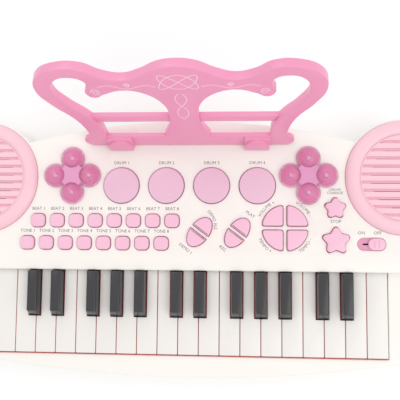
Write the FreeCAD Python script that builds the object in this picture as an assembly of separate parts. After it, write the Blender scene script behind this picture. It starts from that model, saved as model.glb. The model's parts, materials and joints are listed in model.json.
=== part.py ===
import FreeCAD, Part
import math
import os
from FreeCAD import Vector

# Toy electronic keyboard with 31 hinged keys, drum pads, buttons, a slide switch, two speakers,
# two flower lamps and a music stand that lifts out.  Millimetres, +X right, +Y to the rear, +Z up.
# Pieces are drawn with Y = 0 at the front ends of the white keys and Z = 0 at the table.  save()
# then moves them in Y, so that the origin is under the middle of the whole toy's box.

# Heights above the table
FOOT_H = 2.0                 # moulded feet under the lower casing
PARTING_Z = 20.0             # where the two casings meet
WHITE_TOP_Z = 36.0           # playing surface of the white keys
RIM_DROP = 2.0               # the front rim lies this much below the white keys
DECK_RISE = 6.0              # the control deck lies this much above the white keys
WALL = 2.2                   # casing wall

# Casing outline
FRONT_Y = -18.0              # foremost point of the bowed front
FRONT_BOW_R = 975.0
REAR_Y = 184.0               # rearmost point of the bowed back
REAR_BOW_R = 500.0
CORNER_X = 172.0             # centre of each front corner
CORNER_R = 34.0
POD_X = 166.0                # centre of each speaker pod
POD_Y = 138.3
POD_R = 46.0

# Keys
WHITE_COUNT = 19
PITCH = 16.2
WHITE_LEN = 65.3             # length in front of the deck's step
KEY_GAP = 0.6                # between neighbouring keys
WHITE_H = 11.0
KEY_TUCK = 2.7               # how far a white key reaches under the deck
KEY_SKIN = 2.0
KEY_WALL = 1.3
BLACK_LEN = 35.4
BLACK_W = 9.2
BLACK_TOP_W = 7.4
BLACK_RISE = 9.0             # black tops above the white tops
BLACK_SLOPE = 4.3            # depth of the sloped front
BLACK_SKIRT = 9.0            # black body below the white tops
BLACK_WALL = 1.2
BLACK_END_GAP = 0.9          # between the black keys' rear ends and the deck's step
FIRST_NOTE = 11              # B, counted in semitones from C
PIVOT_BACK = 98.0            # pivot axis behind the white keys' front ends
PIVOT_DROP = 9.0             # pivot axis below the white keys' tops
ROD_R = 1.5
ROD_FIT = 0.05               # radial running clearance of keys on the rod
ARM_W = 6.0
ARM_H = 8.0
BARREL_R = 4.0
ARM_ROOT = 10.0              # length of the arm inside the key
PLUNGER_Y = 50.0
PLUNGER_T = 2.0
PLUNGER_DROP = 15.0          # plunger foot below the white keys' tops
WELL_SIDE_GAP = 0.7
WELL_FRONT_GAP = 0.9
WELL_WALL = 1.8
WELL_FLOOR_Z = 22.0          # lower edge of the well's walls
LIP_GAP = 1.2                # under the deck's step, above the white keys
SADDLE_T = 1.8

# Key contacts
KEY_BOARD_Z = 12.4
BOARD_T = 1.6
KEY_BOARD_W = 24.0
DOME_R = 2.6
DOME_H = 3.0
STRIP_T = 1.0
STRIP_W = 8.0

# Controls on the deck
BUTTON_GAP = 0.6             # all round each cap in its hole
FLANGE = 0.8                 # flange outside the hole, under the deck
FLANGE_T = 1.2
FLANGE_CLEAR = 0.4           # between the flange and the deck's underside
STEM_R = 1.6
STEM_CLEAR = 1.9             # from stem to board, a little more than the travel
PAD_COUNT = 4
PAD_SPACING = 35.8
PAD_Y = 132.0
PAD_R = 14.0
PAD_RISE = 2.2
SMALL_COUNT = 8
SMALL_PITCH = 15.3
SMALL_W = 11.0
SMALL_D = 10.2
SMALL_R = 3.5
SMALL_RISE = 2.4
RHYTHM_X = -120.1            # first cap of the rear row
RHYTHM_Y = 104.1
TONE_X = -128.4              # first cap of the front row
TONE_Y = 86.4
RUNNER_W = 4.0
OVAL_A = 12.8
OVAL_B = 7.4
OVAL_RIB = 2.0
OVAL_TURN = 53.0
OVAL_RISE = 3.0
DEMO_POS = (8.7, 95.4)
TAPE_POS = (38.2, 95.1)      # record and play
CLUSTER_POS = (75.1, 98.9)
CLUSTER_R = 17.6
CLUSTER_RIB = 2.3
CLUSTER_RISE = 3.0
CLUSTER_CORNER = 1.8
STAR_RISE = 3.2
STAR_WAIST = 0.62            # inner radius over outer radius
STAR_TIP_R = 2.4
STAR_TIP_CUT = 0.75          # share of the tip's radius that its rounding takes off the point
DRUM_STAR_POS = (113.7, 114.5)
DRUM_STAR_R = 8.8
STOP_STAR_POS = (114.1, 89.3)
STOP_STAR_R = 11.0

# Slide switch
SWITCH_X = 141.0
SWITCH_Y = 86.9
SWITCH_L = 22.0
SWITCH_W = 10.2
SWITCH_DEEP = 1.4
KNOB_FLOAT = 0.3             # under the knob, above the pocket's floor
KNOB_L = 13.0
KNOB_RISE = 1.8
KNOB_GAP = 0.5
KNOB_STEM_L = 4.0
KNOB_STEM_W = 2.6
GRIP_X = 2.0                 # two grip grooves, each side of the knob's middle
GRIP_W = 1.0
GRIP_L = 6.0
GRIP_DEEP = 0.8
SWITCH_TRAVEL = 8.0

# Flower lamps
FLOWER_X = 93.2
FLOWER_Y = 140.0
PETAL_OUT = 13.5
PETAL_R = 9.6
PETAL_BASE = 3.0
PETAL_RISE = 9.0
LENS_WALL = 1.6
LAMP_HOLE_R = 3.2

# Speakers
GRILLE_R = 44.3
GRILLE_FIELD_R = 33.5
GRILLE_T = 2.5
GRILLE_RISE = 5.0
SLOT_COUNT = 11
SLOT_PITCH = 6.3
SLOT_H = 2.3
SLOT_SHIFT = 2.6
SOUND_HOLE_R = 25.0
DRIVER_R = 28.5
DRIVER_DEEP = 19.0
MAGNET_R = 18.0
MAGNET_H = 7.0

# Music stand, drawn flat: x across, s up the board, then leant back
STAND_Y = 164.6
STAND_LEAN = 14.8
STAND_T = 6.9
BAR_H = 15.0
BAR_T = 3.8                  # base bar, thinner than the plate
BAR_HALF = 82.0
RAIL_LOW = 34.2
RAIL_HIGH = 43.8
RAIL_HALF = 71.0
RAIL_FRONT = 2.5             # rail's front and rear faces behind the board's front
RAIL_REAR = 6.9
HOOD_X = 53.4
HOOD_W = 19.4
HOOD_H = 14.5
HOOD_BACK = 2.4              # block behind the arched lip
HOOD_OUT = 4.8
LIP_R = 9.5                  # arched lip on the hood's front
TONGUE_W = 18.0
TONGUE_T = 3.2
TONGUE_L = 14.0
TONGUE_BACK = 0.2
SOCKET_GAP = 0.35
SOCKET_WALL = 1.6
STAND_CLEAR = 0.3

# Boards, batteries and fasteners
MAIN_BOARD_Z = 33.0
MAIN_BOARD_HALF = 132.0
MAIN_BOARD_Y = (75.0, 156.0)
SWITCH_BOARD_X = 158.0
SWITCH_BOARD_Y = 103.0
CELL_R = 7.15
CELL_L = 50.0
CELL_GAP = 0.7
BOX_MID_Y = 131.5
BOX_WALL = 1.8
DOOR_LEDGE = 2.0
DOOR_GAP = 0.3
DOOR_TAB = 6.0
DOOR_TAB_W = 12.0
FOOT_R = 7.0
FOOT_POS = ((165.0, 16.0), (150.0, 160.0))
SCREW_R = 1.3
SCREW_HEAD_R = 2.9
SCREW_HEAD_H = 2.2
SCREW_SEAT_Z = 8.0
SCREW_BITE = 10.0
BOSS_R = 4.0
BOSS_PAIRS = ((176.0, 14.0), (178.0, 56.0), (108.0, 162.0), (20.0, 174.0))
FRONT_BOSS_X = (-75.0, 0.0, 75.0)

# Sizes that follow
BOTTOM_Z = FOOT_H
FLOOR_Z = FOOT_H + WALL
RIM_Z = WHITE_TOP_Z - RIM_DROP
DECK_Z = WHITE_TOP_Z + DECK_RISE
DECK_UNDER_Z = DECK_Z - WALL
STEP_Y = WHITE_LEN
WELL_HALF = WHITE_COUNT * PITCH / 2 + WELL_SIDE_GAP
WELL_BACK_Y = STEP_Y + WALL
PIVOT_Z = WHITE_TOP_Z - PIVOT_DROP
BOARD_TOP_Z = MAIN_BOARD_Z + BOARD_T
FAR = 400.0                  # beyond every edge of the toy
BOX_HALF_X = CELL_L + CELL_GAP * 2 + 2.0
BOX_HALF_Y = 2 * CELL_R + CELL_GAP * 1.5
BOX_TOP_Z = FLOOR_Z + 2 * CELL_R + CELL_GAP * 2
STAND_TILT = math.radians(STAND_LEAN)
STAND_TOP = 113.0
REAR_REACH = STAND_Y + STAND_TOP * math.sin(STAND_TILT) + STAND_T * math.cos(STAND_TILT)
MIDDLE_Y = (FRONT_Y + REAR_REACH) / 2


def box(x0, x1, y0, y1, z0, z1):
    return Part.makeBox(x1 - x0, y1 - y0, z1 - z0, Vector(x0, y0, z0))


def cylinder(x, y, radius, z0, z1):
    return Part.makeCylinder(radius, z1 - z0, Vector(x, y, z0))


def prism(points, z0, z1):
    """Upright solid over a polygon of (x, y) points."""
    corners = [Vector(x, y, z0) for x, y in points]
    face = Part.Face(Part.makePolygon(corners + corners[:1]))
    return face.extrude(Vector(0, 0, z1 - z0))


def fuse(shapes):
    return shapes[0].multiFuse(shapes[1:]).removeSplitter()


def round_uprights(shape, radius):
    """Fillet every straight upright edge."""
    uprights = []
    for edge in shape.Edges:
        low, high = edge.Vertexes[0].Point, edge.Vertexes[-1].Point
        if abs(low.x - high.x) < 1e-6 and abs(low.y - high.y) < 1e-6:
            uprights.append(edge)
    return shape.makeFillet(radius, uprights)


def round_top(shape, radius):
    """Fillet the edges of the highest face."""
    top = max(shape.Faces, key=lambda face: face.CenterOfMass.z)
    return shape.makeFillet(radius, top.Edges)


def mirror_x(shape):
    return shape.mirror(Vector(0, 0, 0), Vector(1, 0, 0))


def both_sides(shape):
    return Part.makeCompound([shape, mirror_x(shape)])


def save(name, shape):
    moved = shape.copy()
    moved.translate(Vector(0, -MIDDLE_Y, 0))
    moved.exportStep(os.path.join("parts", name + ".step"))


# Casing outline

def corner_centre():
    reach = FRONT_BOW_R - CORNER_R
    return Vector(CORNER_X, FRONT_Y + FRONT_BOW_R - math.sqrt(reach ** 2 - CORNER_X ** 2), 0)


def side_normal():
    """Outward direction of the straight side between front corner and speaker pod."""
    along = Vector(POD_X, POD_Y, 0) - corner_centre()
    share = (CORNER_R - POD_R) / along.Length
    unit = along / along.Length
    across = Vector(unit.y, -unit.x, 0)
    return unit * share + across * math.sqrt(1 - share ** 2)


def pod_meets_rear(inset):
    """Where the pod's circle crosses the bowed back."""
    pod = Vector(POD_X, POD_Y, 0)
    rear = Vector(0, REAR_Y - REAR_BOW_R, 0)
    pod_r, rear_r = POD_R - inset, REAR_BOW_R - inset
    apart = pod - rear
    along = (rear_r ** 2 - pod_r ** 2 + apart.Length ** 2) / (2 * apart.Length)
    off = math.sqrt(rear_r ** 2 - along ** 2)
    unit = apart / apart.Length
    return rear + unit * along + Vector(-unit.y, unit.x, 0) * off


def turned(centre, radius, angle):
    return centre + Vector(math.cos(angle), math.sin(angle), 0) * radius


def angle_at(centre, point):
    return math.atan2(point.y - centre.y, point.x - centre.x)


def casing_solid(inset, z0, z1):
    """The casing's whole outline, moved inwards by inset, between two heights."""
    corner, pod = corner_centre(), Vector(POD_X, POD_Y, 0)
    front = Vector(0, FRONT_Y + FRONT_BOW_R, 0)
    start = front + (corner - front) * ((FRONT_BOW_R - inset) / (corner - front).Length)
    side = side_normal()
    low = corner + side * (CORNER_R - inset)
    high = pod + side * (POD_R - inset)
    back = pod_meets_rear(inset)
    low_mid = turned(corner, CORNER_R - inset,
                     (angle_at(corner, start) + angle_at(corner, low)) / 2)
    pod_mid = turned(pod, POD_R - inset, (angle_at(pod, high) + angle_at(pod, back)) / 2)
    right = [Part.Arc(start, low_mid, low).toShape(),
             Part.LineSegment(low, high).toShape(),
             Part.Arc(high, pod_mid, back).toShape()]
    left = [mirror_x(edge) for edge in right]
    flip = lambda p: Vector(-p.x, p.y, p.z)
    bow = Part.Arc(flip(start), Vector(0, FRONT_Y + inset, 0), start).toShape()
    rear = Part.Arc(back, Vector(0, REAR_Y - inset, 0), flip(back)).toShape()
    wire = Part.Wire(Part.__sortEdges__([bow, rear] + right + left))
    solid = Part.Face(wire).extrude(Vector(0, 0, z1 - z0))
    solid.translate(Vector(0, 0, z0))
    return solid


def front_at(x):
    """Y of the bowed front at x."""
    return FRONT_Y + FRONT_BOW_R - math.sqrt(FRONT_BOW_R ** 2 - x ** 2)


def boss_places():
    places = [(x, (front_at(x) + WALL - WELL_FRONT_GAP - WELL_WALL) / 2) for x in FRONT_BOSS_X]
    for x, y in BOSS_PAIRS:
        places += [(x, y), (-x, y)]
    return places


# Keys

BLACK_SHIFT = {1: -1.2, 3: 1.2, 6: -2.6, 8: 0.0, 10: 2.6}    # semitone: shift from the boundary
WHITE_STEPS = (0, 2, 4, 5, 7, 9, 11)


def white_notes():
    """Semitone of each white key from the left."""
    first = WHITE_STEPS.index(FIRST_NOTE)
    return [WHITE_STEPS[(first + i) % 7] for i in range(WHITE_COUNT)]


def black_centres():
    """Boundary number and centre X of every black key."""
    centres = {}
    for i, note in enumerate(white_notes()[:-1]):
        sharp = note + 1
        if sharp in BLACK_SHIFT:
            centres[i + 1] = (i + 1 - WHITE_COUNT / 2) * PITCH + BLACK_SHIFT[sharp]
    return centres


def white_edges(i):
    """Left and right X at the front, then at the narrow rear, of white key i."""
    left = (i - WHITE_COUNT / 2) * PITCH + KEY_GAP / 2
    right = left + PITCH - KEY_GAP
    blacks = black_centres()
    rear_left = blacks[i] + BLACK_W / 2 + KEY_GAP if i in blacks else left
    rear_right = blacks[i + 1] - BLACK_W / 2 - KEY_GAP if i + 1 in blacks else right
    return left, right, rear_left, rear_right


def key_arm(x, root_y):
    """Arm from inside the key back to its barrel on the pivot rod."""
    low = PIVOT_Z - ARM_H / 2
    bar = box(x - ARM_W / 2, x + ARM_W / 2, root_y, PIVOT_BACK, low, low + ARM_H)
    barrel = Part.makeCylinder(BARREL_R, ARM_W, Vector(x - ARM_W / 2, PIVOT_BACK, PIVOT_Z),
                               Vector(1, 0, 0))
    return bar.fuse(barrel)


def rod_bore(x):
    return Part.makeCylinder(ROD_R + ROD_FIT, 2 * ARM_W, Vector(x - ARM_W, PIVOT_BACK, PIVOT_Z),
                             Vector(1, 0, 0))


def plunger(x0, x1, top_z):
    return box(x0, x1, PLUNGER_Y - PLUNGER_T / 2, PLUNGER_Y + PLUNGER_T / 2,
               WHITE_TOP_Z - PLUNGER_DROP, top_z)


def white_key(i):
    left, right, rear_left, rear_right = white_edges(i)
    shoulder = STEP_Y - BLACK_END_GAP - BLACK_LEN - KEY_GAP
    back = WHITE_LEN + KEY_TUCK
    low = WHITE_TOP_Z - WHITE_H
    body = box(left, right, 0, shoulder, low, WHITE_TOP_Z)
    body = body.fuse(box(rear_left, rear_right, 0, back, low, WHITE_TOP_Z)).removeSplitter()
    skin = WHITE_TOP_Z - KEY_SKIN
    body = body.cut(box(left + KEY_WALL, right - KEY_WALL, KEY_WALL, shoulder - KEY_WALL,
                        low, skin))
    body = body.cut(box(rear_left + KEY_WALL, rear_right - KEY_WALL, KEY_WALL, back - KEY_WALL,
                        low, skin))
    middle = (rear_left + rear_right) / 2
    rib = plunger(rear_left + KEY_WALL / 2, rear_right - KEY_WALL / 2, skin)
    key = fuse([body, rib, key_arm(middle, back - ARM_ROOT)])
    return key.cut(rod_bore(middle))


def tapered_cap(x, half_low, half_high, y0, y1, slope, z0, z1):
    """Block whose sides lean in and whose front slopes back."""
    rings = []
    for half, front, z in ((half_low, y0, z0), (half_high, y0 + slope, z1)):
        corners = [Vector(x - half, front, z), Vector(x + half, front, z),
                   Vector(x + half, y1, z), Vector(x - half, y1, z)]
        rings.append(Part.makePolygon(corners + corners[:1]))
    return Part.makeLoft(rings, True, True)


def black_key(x):
    back = STEP_Y - BLACK_END_GAP
    front = back - BLACK_LEN
    low, top = WHITE_TOP_Z - BLACK_SKIRT, WHITE_TOP_Z + BLACK_RISE
    skirt = box(x - BLACK_W / 2, x + BLACK_W / 2, front, back, low, WHITE_TOP_Z)
    cap = tapered_cap(x, BLACK_W / 2, BLACK_TOP_W / 2, front, back, BLACK_SLOPE, WHITE_TOP_Z, top)
    hollow = box(x - BLACK_W / 2 + BLACK_WALL, x + BLACK_W / 2 - BLACK_WALL, front + BLACK_WALL,
                 back - BLACK_WALL, low, WHITE_TOP_Z)
    body = fuse([skirt, cap]).cut(hollow)
    rib = plunger(x - BLACK_W / 2 + BLACK_WALL / 2, x + BLACK_W / 2 - BLACK_WALL / 2, WHITE_TOP_Z)
    key = fuse([body, rib, key_arm(x, back - ARM_ROOT)])
    return key.cut(rod_bore(x))


def key_middles():
    """X of every key's arm and plunger."""
    whites = [sum(white_edges(i)[2:]) / 2 for i in range(WHITE_COUNT)]
    return whites + list(black_centres().values())


def saddle_places():
    """White boundaries with no black key, where the rod is carried."""
    blacks = black_centres()
    return [(i - WHITE_COUNT / 2) * PITCH for i in range(1, WHITE_COUNT) if i not in blacks]


# Outlines of the controls: grow is added all round, so caps, holes and flanges share them

def round_pad(k, grow, z0, z1):
    x = (k - (PAD_COUNT - 1) / 2) * PAD_SPACING
    return cylinder(x, PAD_Y, PAD_R + grow, z0, z1)


def small_cap(x, y, grow, z0, z1):
    half_w, half_d = SMALL_W / 2 + grow, SMALL_D / 2 + grow
    block = box(x - half_w, x + half_w, y - half_d, y + half_d, z0, z1)
    return round_uprights(block, SMALL_R + grow)


def half_oval(place, side, grow, z0, z1):
    """One half of a split oval: side +1 is the upper right half, -1 the lower left."""
    ring = Part.Wire([Part.Ellipse(Vector(0, 0, z0), OVAL_A + grow, OVAL_B + grow).toShape()])
    oval = Part.Face(ring).extrude(Vector(0, 0, z1 - z0))
    split = OVAL_RIB / 2 + BUTTON_GAP - grow
    ends = (split, FAR) if side > 0 else (-FAR, -split)
    half = oval.common(box(ends[0], ends[1], -FAR, FAR, z0, z1)).Solids[0]
    half.rotate(Vector(0, 0, 0), Vector(0, 0, 1), OVAL_TURN)
    half.translate(Vector(place[0], place[1], 0))
    return half


def quadrant(side_x, side_y, grow, z0, z1):
    x, y = CLUSTER_POS
    disc = cylinder(0, 0, CLUSTER_R + grow, z0, z1)
    near = CLUSTER_RIB / 2 + BUTTON_GAP - grow
    quarter = disc.common(box(near, FAR, near, FAR, z0, z1)).Solids[0]
    piece = round_uprights(quarter, CLUSTER_CORNER)
    if side_x < 0:
        piece = piece.mirror(Vector(0, 0, 0), Vector(1, 0, 0))
    if side_y < 0:
        piece = piece.mirror(Vector(0, 0, 0), Vector(0, 1, 0))
    piece.translate(Vector(x, y, 0))
    return piece


def star(place, radius, grow, z0, z1):
    points = []
    for k in range(10):
        reach = (radius + STAR_TIP_R * STAR_TIP_CUT if k % 2 == 0 else radius * STAR_WAIST) + grow
        angle = math.radians(90 + 36 * k)
        points.append((place[0] + reach * math.cos(angle), place[1] + reach * math.sin(angle)))
    return round_uprights(prism(points, z0, z1), STAR_TIP_R)


def stadium(x, y, length, width, z0, z1):
    block = box(x - length / 2, x + length / 2, y - width / 2, y + width / 2, z0, z1)
    return round_uprights(block, width / 2 * 0.999)


def controls():
    """Name, outline function and rise of every cap that moves on its own."""
    pieces = []
    for k in range(PAD_COUNT):
        pieces.append(("drum_pad_%d" % (k + 1), lambda *a, k=k: round_pad(k, *a), PAD_RISE))
    pairs = (("demo_one_button", DEMO_POS, -1), ("demo_all_button", DEMO_POS, 1),
             ("record_button", TAPE_POS, -1), ("play_button", TAPE_POS, 1))
    for name, place, side in pairs:
        pieces.append((name, lambda *a, p=place, s=side: half_oval(p, s, *a), OVAL_RISE))
    quarters = (("volume_up_button", -1, 1), ("tempo_up_button", -1, -1),
                ("volume_down_button", 1, 1), ("tempo_down_button", 1, -1))
    for name, side_x, side_y in quarters:
        pieces.append((name, lambda *a, x=side_x, y=side_y: quadrant(x, y, *a), CLUSTER_RISE))
    stars = (("drum_change_button", DRUM_STAR_POS, DRUM_STAR_R),
             ("stop_button", STOP_STAR_POS, STOP_STAR_R))
    for name, place, radius in stars:
        pieces.append((name, lambda *a, p=place, r=radius: star(p, r, *a), STAR_RISE))
    return pieces


def flange_heights():
    top = DECK_UNDER_Z - FLANGE_CLEAR
    return top - FLANGE_T, top


def stem(shape):
    """Post under a cap that reaches down towards the main board."""
    middle = shape.Solids[0].CenterOfMass
    return cylinder(middle.x, middle.y, STEM_R, BOARD_TOP_Z + STEM_CLEAR, flange_heights()[1])


def control(outline, rise):
    low, high = flange_heights()
    cap = outline(0, low, DECK_Z + rise)
    flange = outline(BUTTON_GAP + FLANGE, low, high)
    return fuse([cap, flange, stem(cap)])


def button_row(first_x, y):
    """Eight caps on one moulded runner under the deck."""
    low, high = flange_heights()
    pieces = []
    for k in range(SMALL_COUNT):
        x = first_x + k * SMALL_PITCH
        cap = small_cap(x, y, 0, low, DECK_Z + SMALL_RISE)
        pieces += [cap, small_cap(x, y, BUTTON_GAP + FLANGE, low, high), stem(cap)]
    last_x = first_x + (SMALL_COUNT - 1) * SMALL_PITCH
    pieces.append(box(first_x, last_x, y - RUNNER_W / 2, y + RUNNER_W / 2, low, high))
    return fuse(pieces)


# Slide switch

def knob_place():
    """The knob rests at the off end, which is the right end."""
    return SWITCH_X + (SWITCH_L - KNOB_L) / 2 - KNOB_GAP


def pocket_z():
    return DECK_Z - SWITCH_DEEP


def power_knob():
    x = knob_place()
    top = DECK_Z + KNOB_RISE
    low = pocket_z() + KNOB_FLOAT
    body = stadium(x, SWITCH_Y, KNOB_L, SWITCH_W - 2 * KNOB_GAP, low, top)
    for groove_x in (x - GRIP_X, x + GRIP_X):
        groove = box(groove_x - GRIP_W / 2, groove_x + GRIP_W / 2, SWITCH_Y - GRIP_L / 2,
                     SWITCH_Y + GRIP_L / 2, top - GRIP_DEEP, top)
        body = body.cut(groove)
    shank = box(x - KNOB_STEM_L / 2, x + KNOB_STEM_L / 2, SWITCH_Y - KNOB_STEM_W / 2,
                SWITCH_Y + KNOB_STEM_W / 2, BOARD_TOP_Z + KNOB_FLOAT, low + KNOB_FLOAT)
    return fuse([body, shank])


def switch_cuts():
    pocket = stadium(SWITCH_X, SWITCH_Y, SWITCH_L, SWITCH_W, pocket_z(), DECK_Z)
    half = KNOB_STEM_L / 2 + KNOB_GAP
    slot = box(knob_place() - SWITCH_TRAVEL - half, knob_place() + half,
               SWITCH_Y - KNOB_STEM_W / 2 - KNOB_GAP, SWITCH_Y + KNOB_STEM_W / 2 + KNOB_GAP,
               DECK_UNDER_Z - WALL, DECK_Z)
    return [pocket, slot]


# Flower lamps and speakers

def petal_places():
    return [(FLOWER_X + PETAL_OUT * round(math.cos(k * math.pi / 2)),
             FLOWER_Y + PETAL_OUT * round(math.sin(k * math.pi / 2))) for k in range(4)]


def domed(x, y, radius, z0, rise, base):
    """Round post with a part-sphere top."""
    crown = rise - base
    ball_r = (radius ** 2 + crown ** 2) / (2 * crown)
    ball = Part.makeSphere(ball_r, Vector(x, y, z0 + rise - ball_r))
    cap = ball.common(cylinder(x, y, radius, z0 + base, z0 + rise + 1))
    return cylinder(x, y, radius, z0, z0 + base).fuse(cap)


def flower_lens():
    petals = [domed(x, y, PETAL_R, DECK_Z, PETAL_RISE, PETAL_BASE) for x, y in petal_places()]
    middle = cylinder(FLOWER_X, FLOWER_Y, PETAL_OUT * 0.72, DECK_Z, DECK_Z + PETAL_BASE + 1)
    lens = fuse(petals + [middle])
    for x, y in petal_places():
        hollow = domed(x, y, PETAL_R - 1.5 * LENS_WALL, DECK_Z, PETAL_RISE - LENS_WALL,
                       PETAL_BASE)
        lens = lens.cut(hollow)
    return lens


def grille():
    """Domed ring round a louvred disc."""
    field = cylinder(POD_X, POD_Y, GRILLE_FIELD_R + 1, DECK_Z, DECK_Z + GRILLE_T)
    for k in range(SLOT_COUNT):
        y = SLOT_SHIFT + (k - (SLOT_COUNT - 1) / 2) * SLOT_PITCH
        inner = GRILLE_FIELD_R - 1
        half = math.sqrt(inner ** 2 - min(abs(y) + SLOT_H / 2, inner * 0.95) ** 2)
        field = field.cut(box(POD_X - half, POD_X + half, POD_Y + y - SLOT_H / 2,
                              POD_Y + y + SLOT_H / 2, DECK_Z, DECK_Z + GRILLE_T))
    inner, outer = Vector(GRILLE_FIELD_R, 0, DECK_Z), Vector(GRILLE_R, 0, DECK_Z)
    inner_top = inner + Vector(0, 0, GRILLE_T)
    crest = Vector((GRILLE_FIELD_R + GRILLE_R) / 2, 0, DECK_Z + GRILLE_RISE)
    outer_top = outer + Vector(0, 0, 1)
    wire = Part.Wire([Part.makeLine(inner, inner_top),
                      Part.Arc(inner_top, crest, outer_top).toShape(),
                      Part.makeLine(outer_top, outer), Part.makeLine(outer, inner)])
    ring = Part.Face(wire).revolve(Vector(0, 0, 0), Vector(0, 0, 1), 360)
    ring.translate(Vector(POD_X, POD_Y, 0))
    return field.fuse(ring).removeSplitter()


def driver():
    """Loudspeaker: rim under the deck, basket with an open cone, and magnet."""
    top = DECK_UNDER_Z
    low = top - DRIVER_DEEP
    neck = MAGNET_R - 4
    outline = ((0, low), (MAGNET_R, low), (MAGNET_R, low + MAGNET_H), (neck, low + MAGNET_H),
               (DRIVER_R - 2.5, top - 3), (DRIVER_R, top - 2), (DRIVER_R, top),
               (DRIVER_R - 2, top), (neck - 2, low + MAGNET_H + 3), (0, low + MAGNET_H + 3))
    points = [Vector(r, 0, z) for r, z in outline]
    face = Part.Face(Part.makePolygon(points + points[:1]))
    solid = face.revolve(Vector(0, 0, 0), Vector(0, 0, 1), 360)
    solid.translate(Vector(POD_X, POD_Y, 0))
    return solid


# Music stand

def lean_back(shape):
    shape.rotate(Vector(0, 0, 0), Vector(1, 0, 0), -STAND_LEAN)
    shape.translate(Vector(0, STAND_Y, DECK_Z))
    return shape


def upright_plate(edges, y0, y1):
    """Plate over a closed outline in the XZ plane, from y0 back to y1."""
    plate = Part.Face(Part.Wire(edges)).extrude(Vector(0, y1 - y0, 0))
    plate.translate(Vector(0, y0, 0))
    return plate


def flat_curve(points):
    curve = Part.BSplineCurve()
    curve.interpolate([Vector(x, 0, s) for x, s in points])
    return curve.toShape()


def stand_outline():
    """Outer outline of the plate: two scrolled arms and a crowned middle."""
    right = [(76, 0), (76, 24), (81, 45), (91.5, 65), (97.3, 84), (92.5, 101), (77, 110.4),
             (61, 109.6), (49.5, 100.8), (37, 97), (25, 101.8), (12, 110.6), (0, STAND_TOP)]
    left = [(-x, s) for x, s in reversed(right)]
    outline = flat_curve(right + left[1:])
    foot = Part.makeLine(Vector(-76, 0, 0), Vector(76, 0, 0))
    return [outline, foot]


def window_outline():
    """Right hand opening, which curls up into the scroll and is open at the foot."""
    inner = [(63, BAR_H), (64, 30), (70, 47), (80, 64), (86, 83), (81, 97), (71, 100.8),
             (62, 96), (61.8, 87.8), (64, 81.2), (59, 75.2), (51, 79.6), (38, 84.4), (24, 79.8),
             (13, 65), (10.6, 47), (12.4, 31), (17.5, BAR_H)]
    foot = [Vector(inner[-1][0], 0, BAR_H), Vector(inner[-1][0], 0, -1),
            Vector(inner[0][0], 0, -1), Vector(inner[0][0], 0, BAR_H)]
    sides = [Part.makeLine(start, end) for start, end in zip(foot, foot[1:])]
    return [flat_curve(inner)] + sides


def hood(x):
    """Block with an arched lip in front of the base bar, which holds the open pages."""
    block = box(x - HOOD_W / 2, x + HOOD_W / 2, -HOOD_BACK, 0, 0, HOOD_H)
    spring = HOOD_H - LIP_R - 0.5
    lip = box(x - LIP_R, x + LIP_R, -HOOD_OUT, 0, 0, spring)
    arch = Part.makeCylinder(LIP_R, HOOD_OUT, Vector(x, -HOOD_OUT, spring), Vector(0, 1, 0))
    return fuse([block, lip, arch])


def tongue(x, gap, low, high):
    """Tongue, or with a gap its socket's hollow."""
    return box(x - TONGUE_W / 2 - gap, x + TONGUE_W / 2 + gap, TONGUE_BACK - gap,
               TONGUE_BACK + TONGUE_T + gap, low, high)


def music_stand():
    plate = upright_plate(stand_outline(), 0, STAND_T)
    window = upright_plate(window_outline(), -1, STAND_T + 1)
    plate = plate.cut(window).cut(mirror_x(window))
    bar = box(-BAR_HALF + BAR_H / 2, BAR_HALF - BAR_H / 2, 0, BAR_T, 0, BAR_H)
    ends = [Part.makeCylinder(BAR_H / 2, BAR_T, Vector(x, 0, BAR_H / 2), Vector(0, 1, 0))
            for x in (-BAR_HALF + BAR_H / 2, BAR_HALF - BAR_H / 2)]
    rail = box(-RAIL_HALF, RAIL_HALF, RAIL_FRONT, RAIL_REAR, RAIL_LOW, RAIL_HIGH)
    stand = fuse([plate, bar, rail, hood(-HOOD_X), hood(HOOD_X)] + ends)
    stand = lean_back(stand).cut(box(-FAR, FAR, 0, FAR, 0, DECK_Z + STAND_CLEAR))
    tongues = [lean_back(tongue(x, 0, -TONGUE_L, BAR_H / 2)) for x in (-HOOD_X, HOOD_X)]
    return fuse([stand] + tongues)


def socket(x):
    """Walls of the socket under the deck, before its hollow is cut."""
    return box(x - TONGUE_W / 2 - SOCKET_GAP - SOCKET_WALL, x + TONGUE_W / 2 + SOCKET_GAP
               + SOCKET_WALL, TONGUE_BACK - SOCKET_GAP - SOCKET_WALL,
               TONGUE_BACK + TONGUE_T + SOCKET_GAP + SOCKET_WALL, -TONGUE_L, 0)


# Casings

def upper_boss(x, y):
    top = DECK_UNDER_Z if y > STEP_Y else RIM_Z - WALL
    return cylinder(x, y, BOSS_R, PARTING_Z, top + 0.5)


def deck_holes():
    holes = [outline(BUTTON_GAP, DECK_UNDER_Z, DECK_Z) for name, outline, rise in controls()]
    for first_x, y in ((RHYTHM_X, RHYTHM_Y), (TONE_X, TONE_Y)):
        holes += [small_cap(first_x + k * SMALL_PITCH, y, BUTTON_GAP, DECK_UNDER_Z, DECK_Z)
                  for k in range(SMALL_COUNT)]
    for x, y in petal_places():
        holes += [cylinder(side * x, y, LAMP_HOLE_R, DECK_UNDER_Z, DECK_Z) for side in (1, -1)]
    holes += [cylinder(x, POD_Y, SOUND_HOLE_R, DECK_UNDER_Z, DECK_Z) for x in (-POD_X, POD_X)]
    return holes + switch_cuts()


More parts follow.
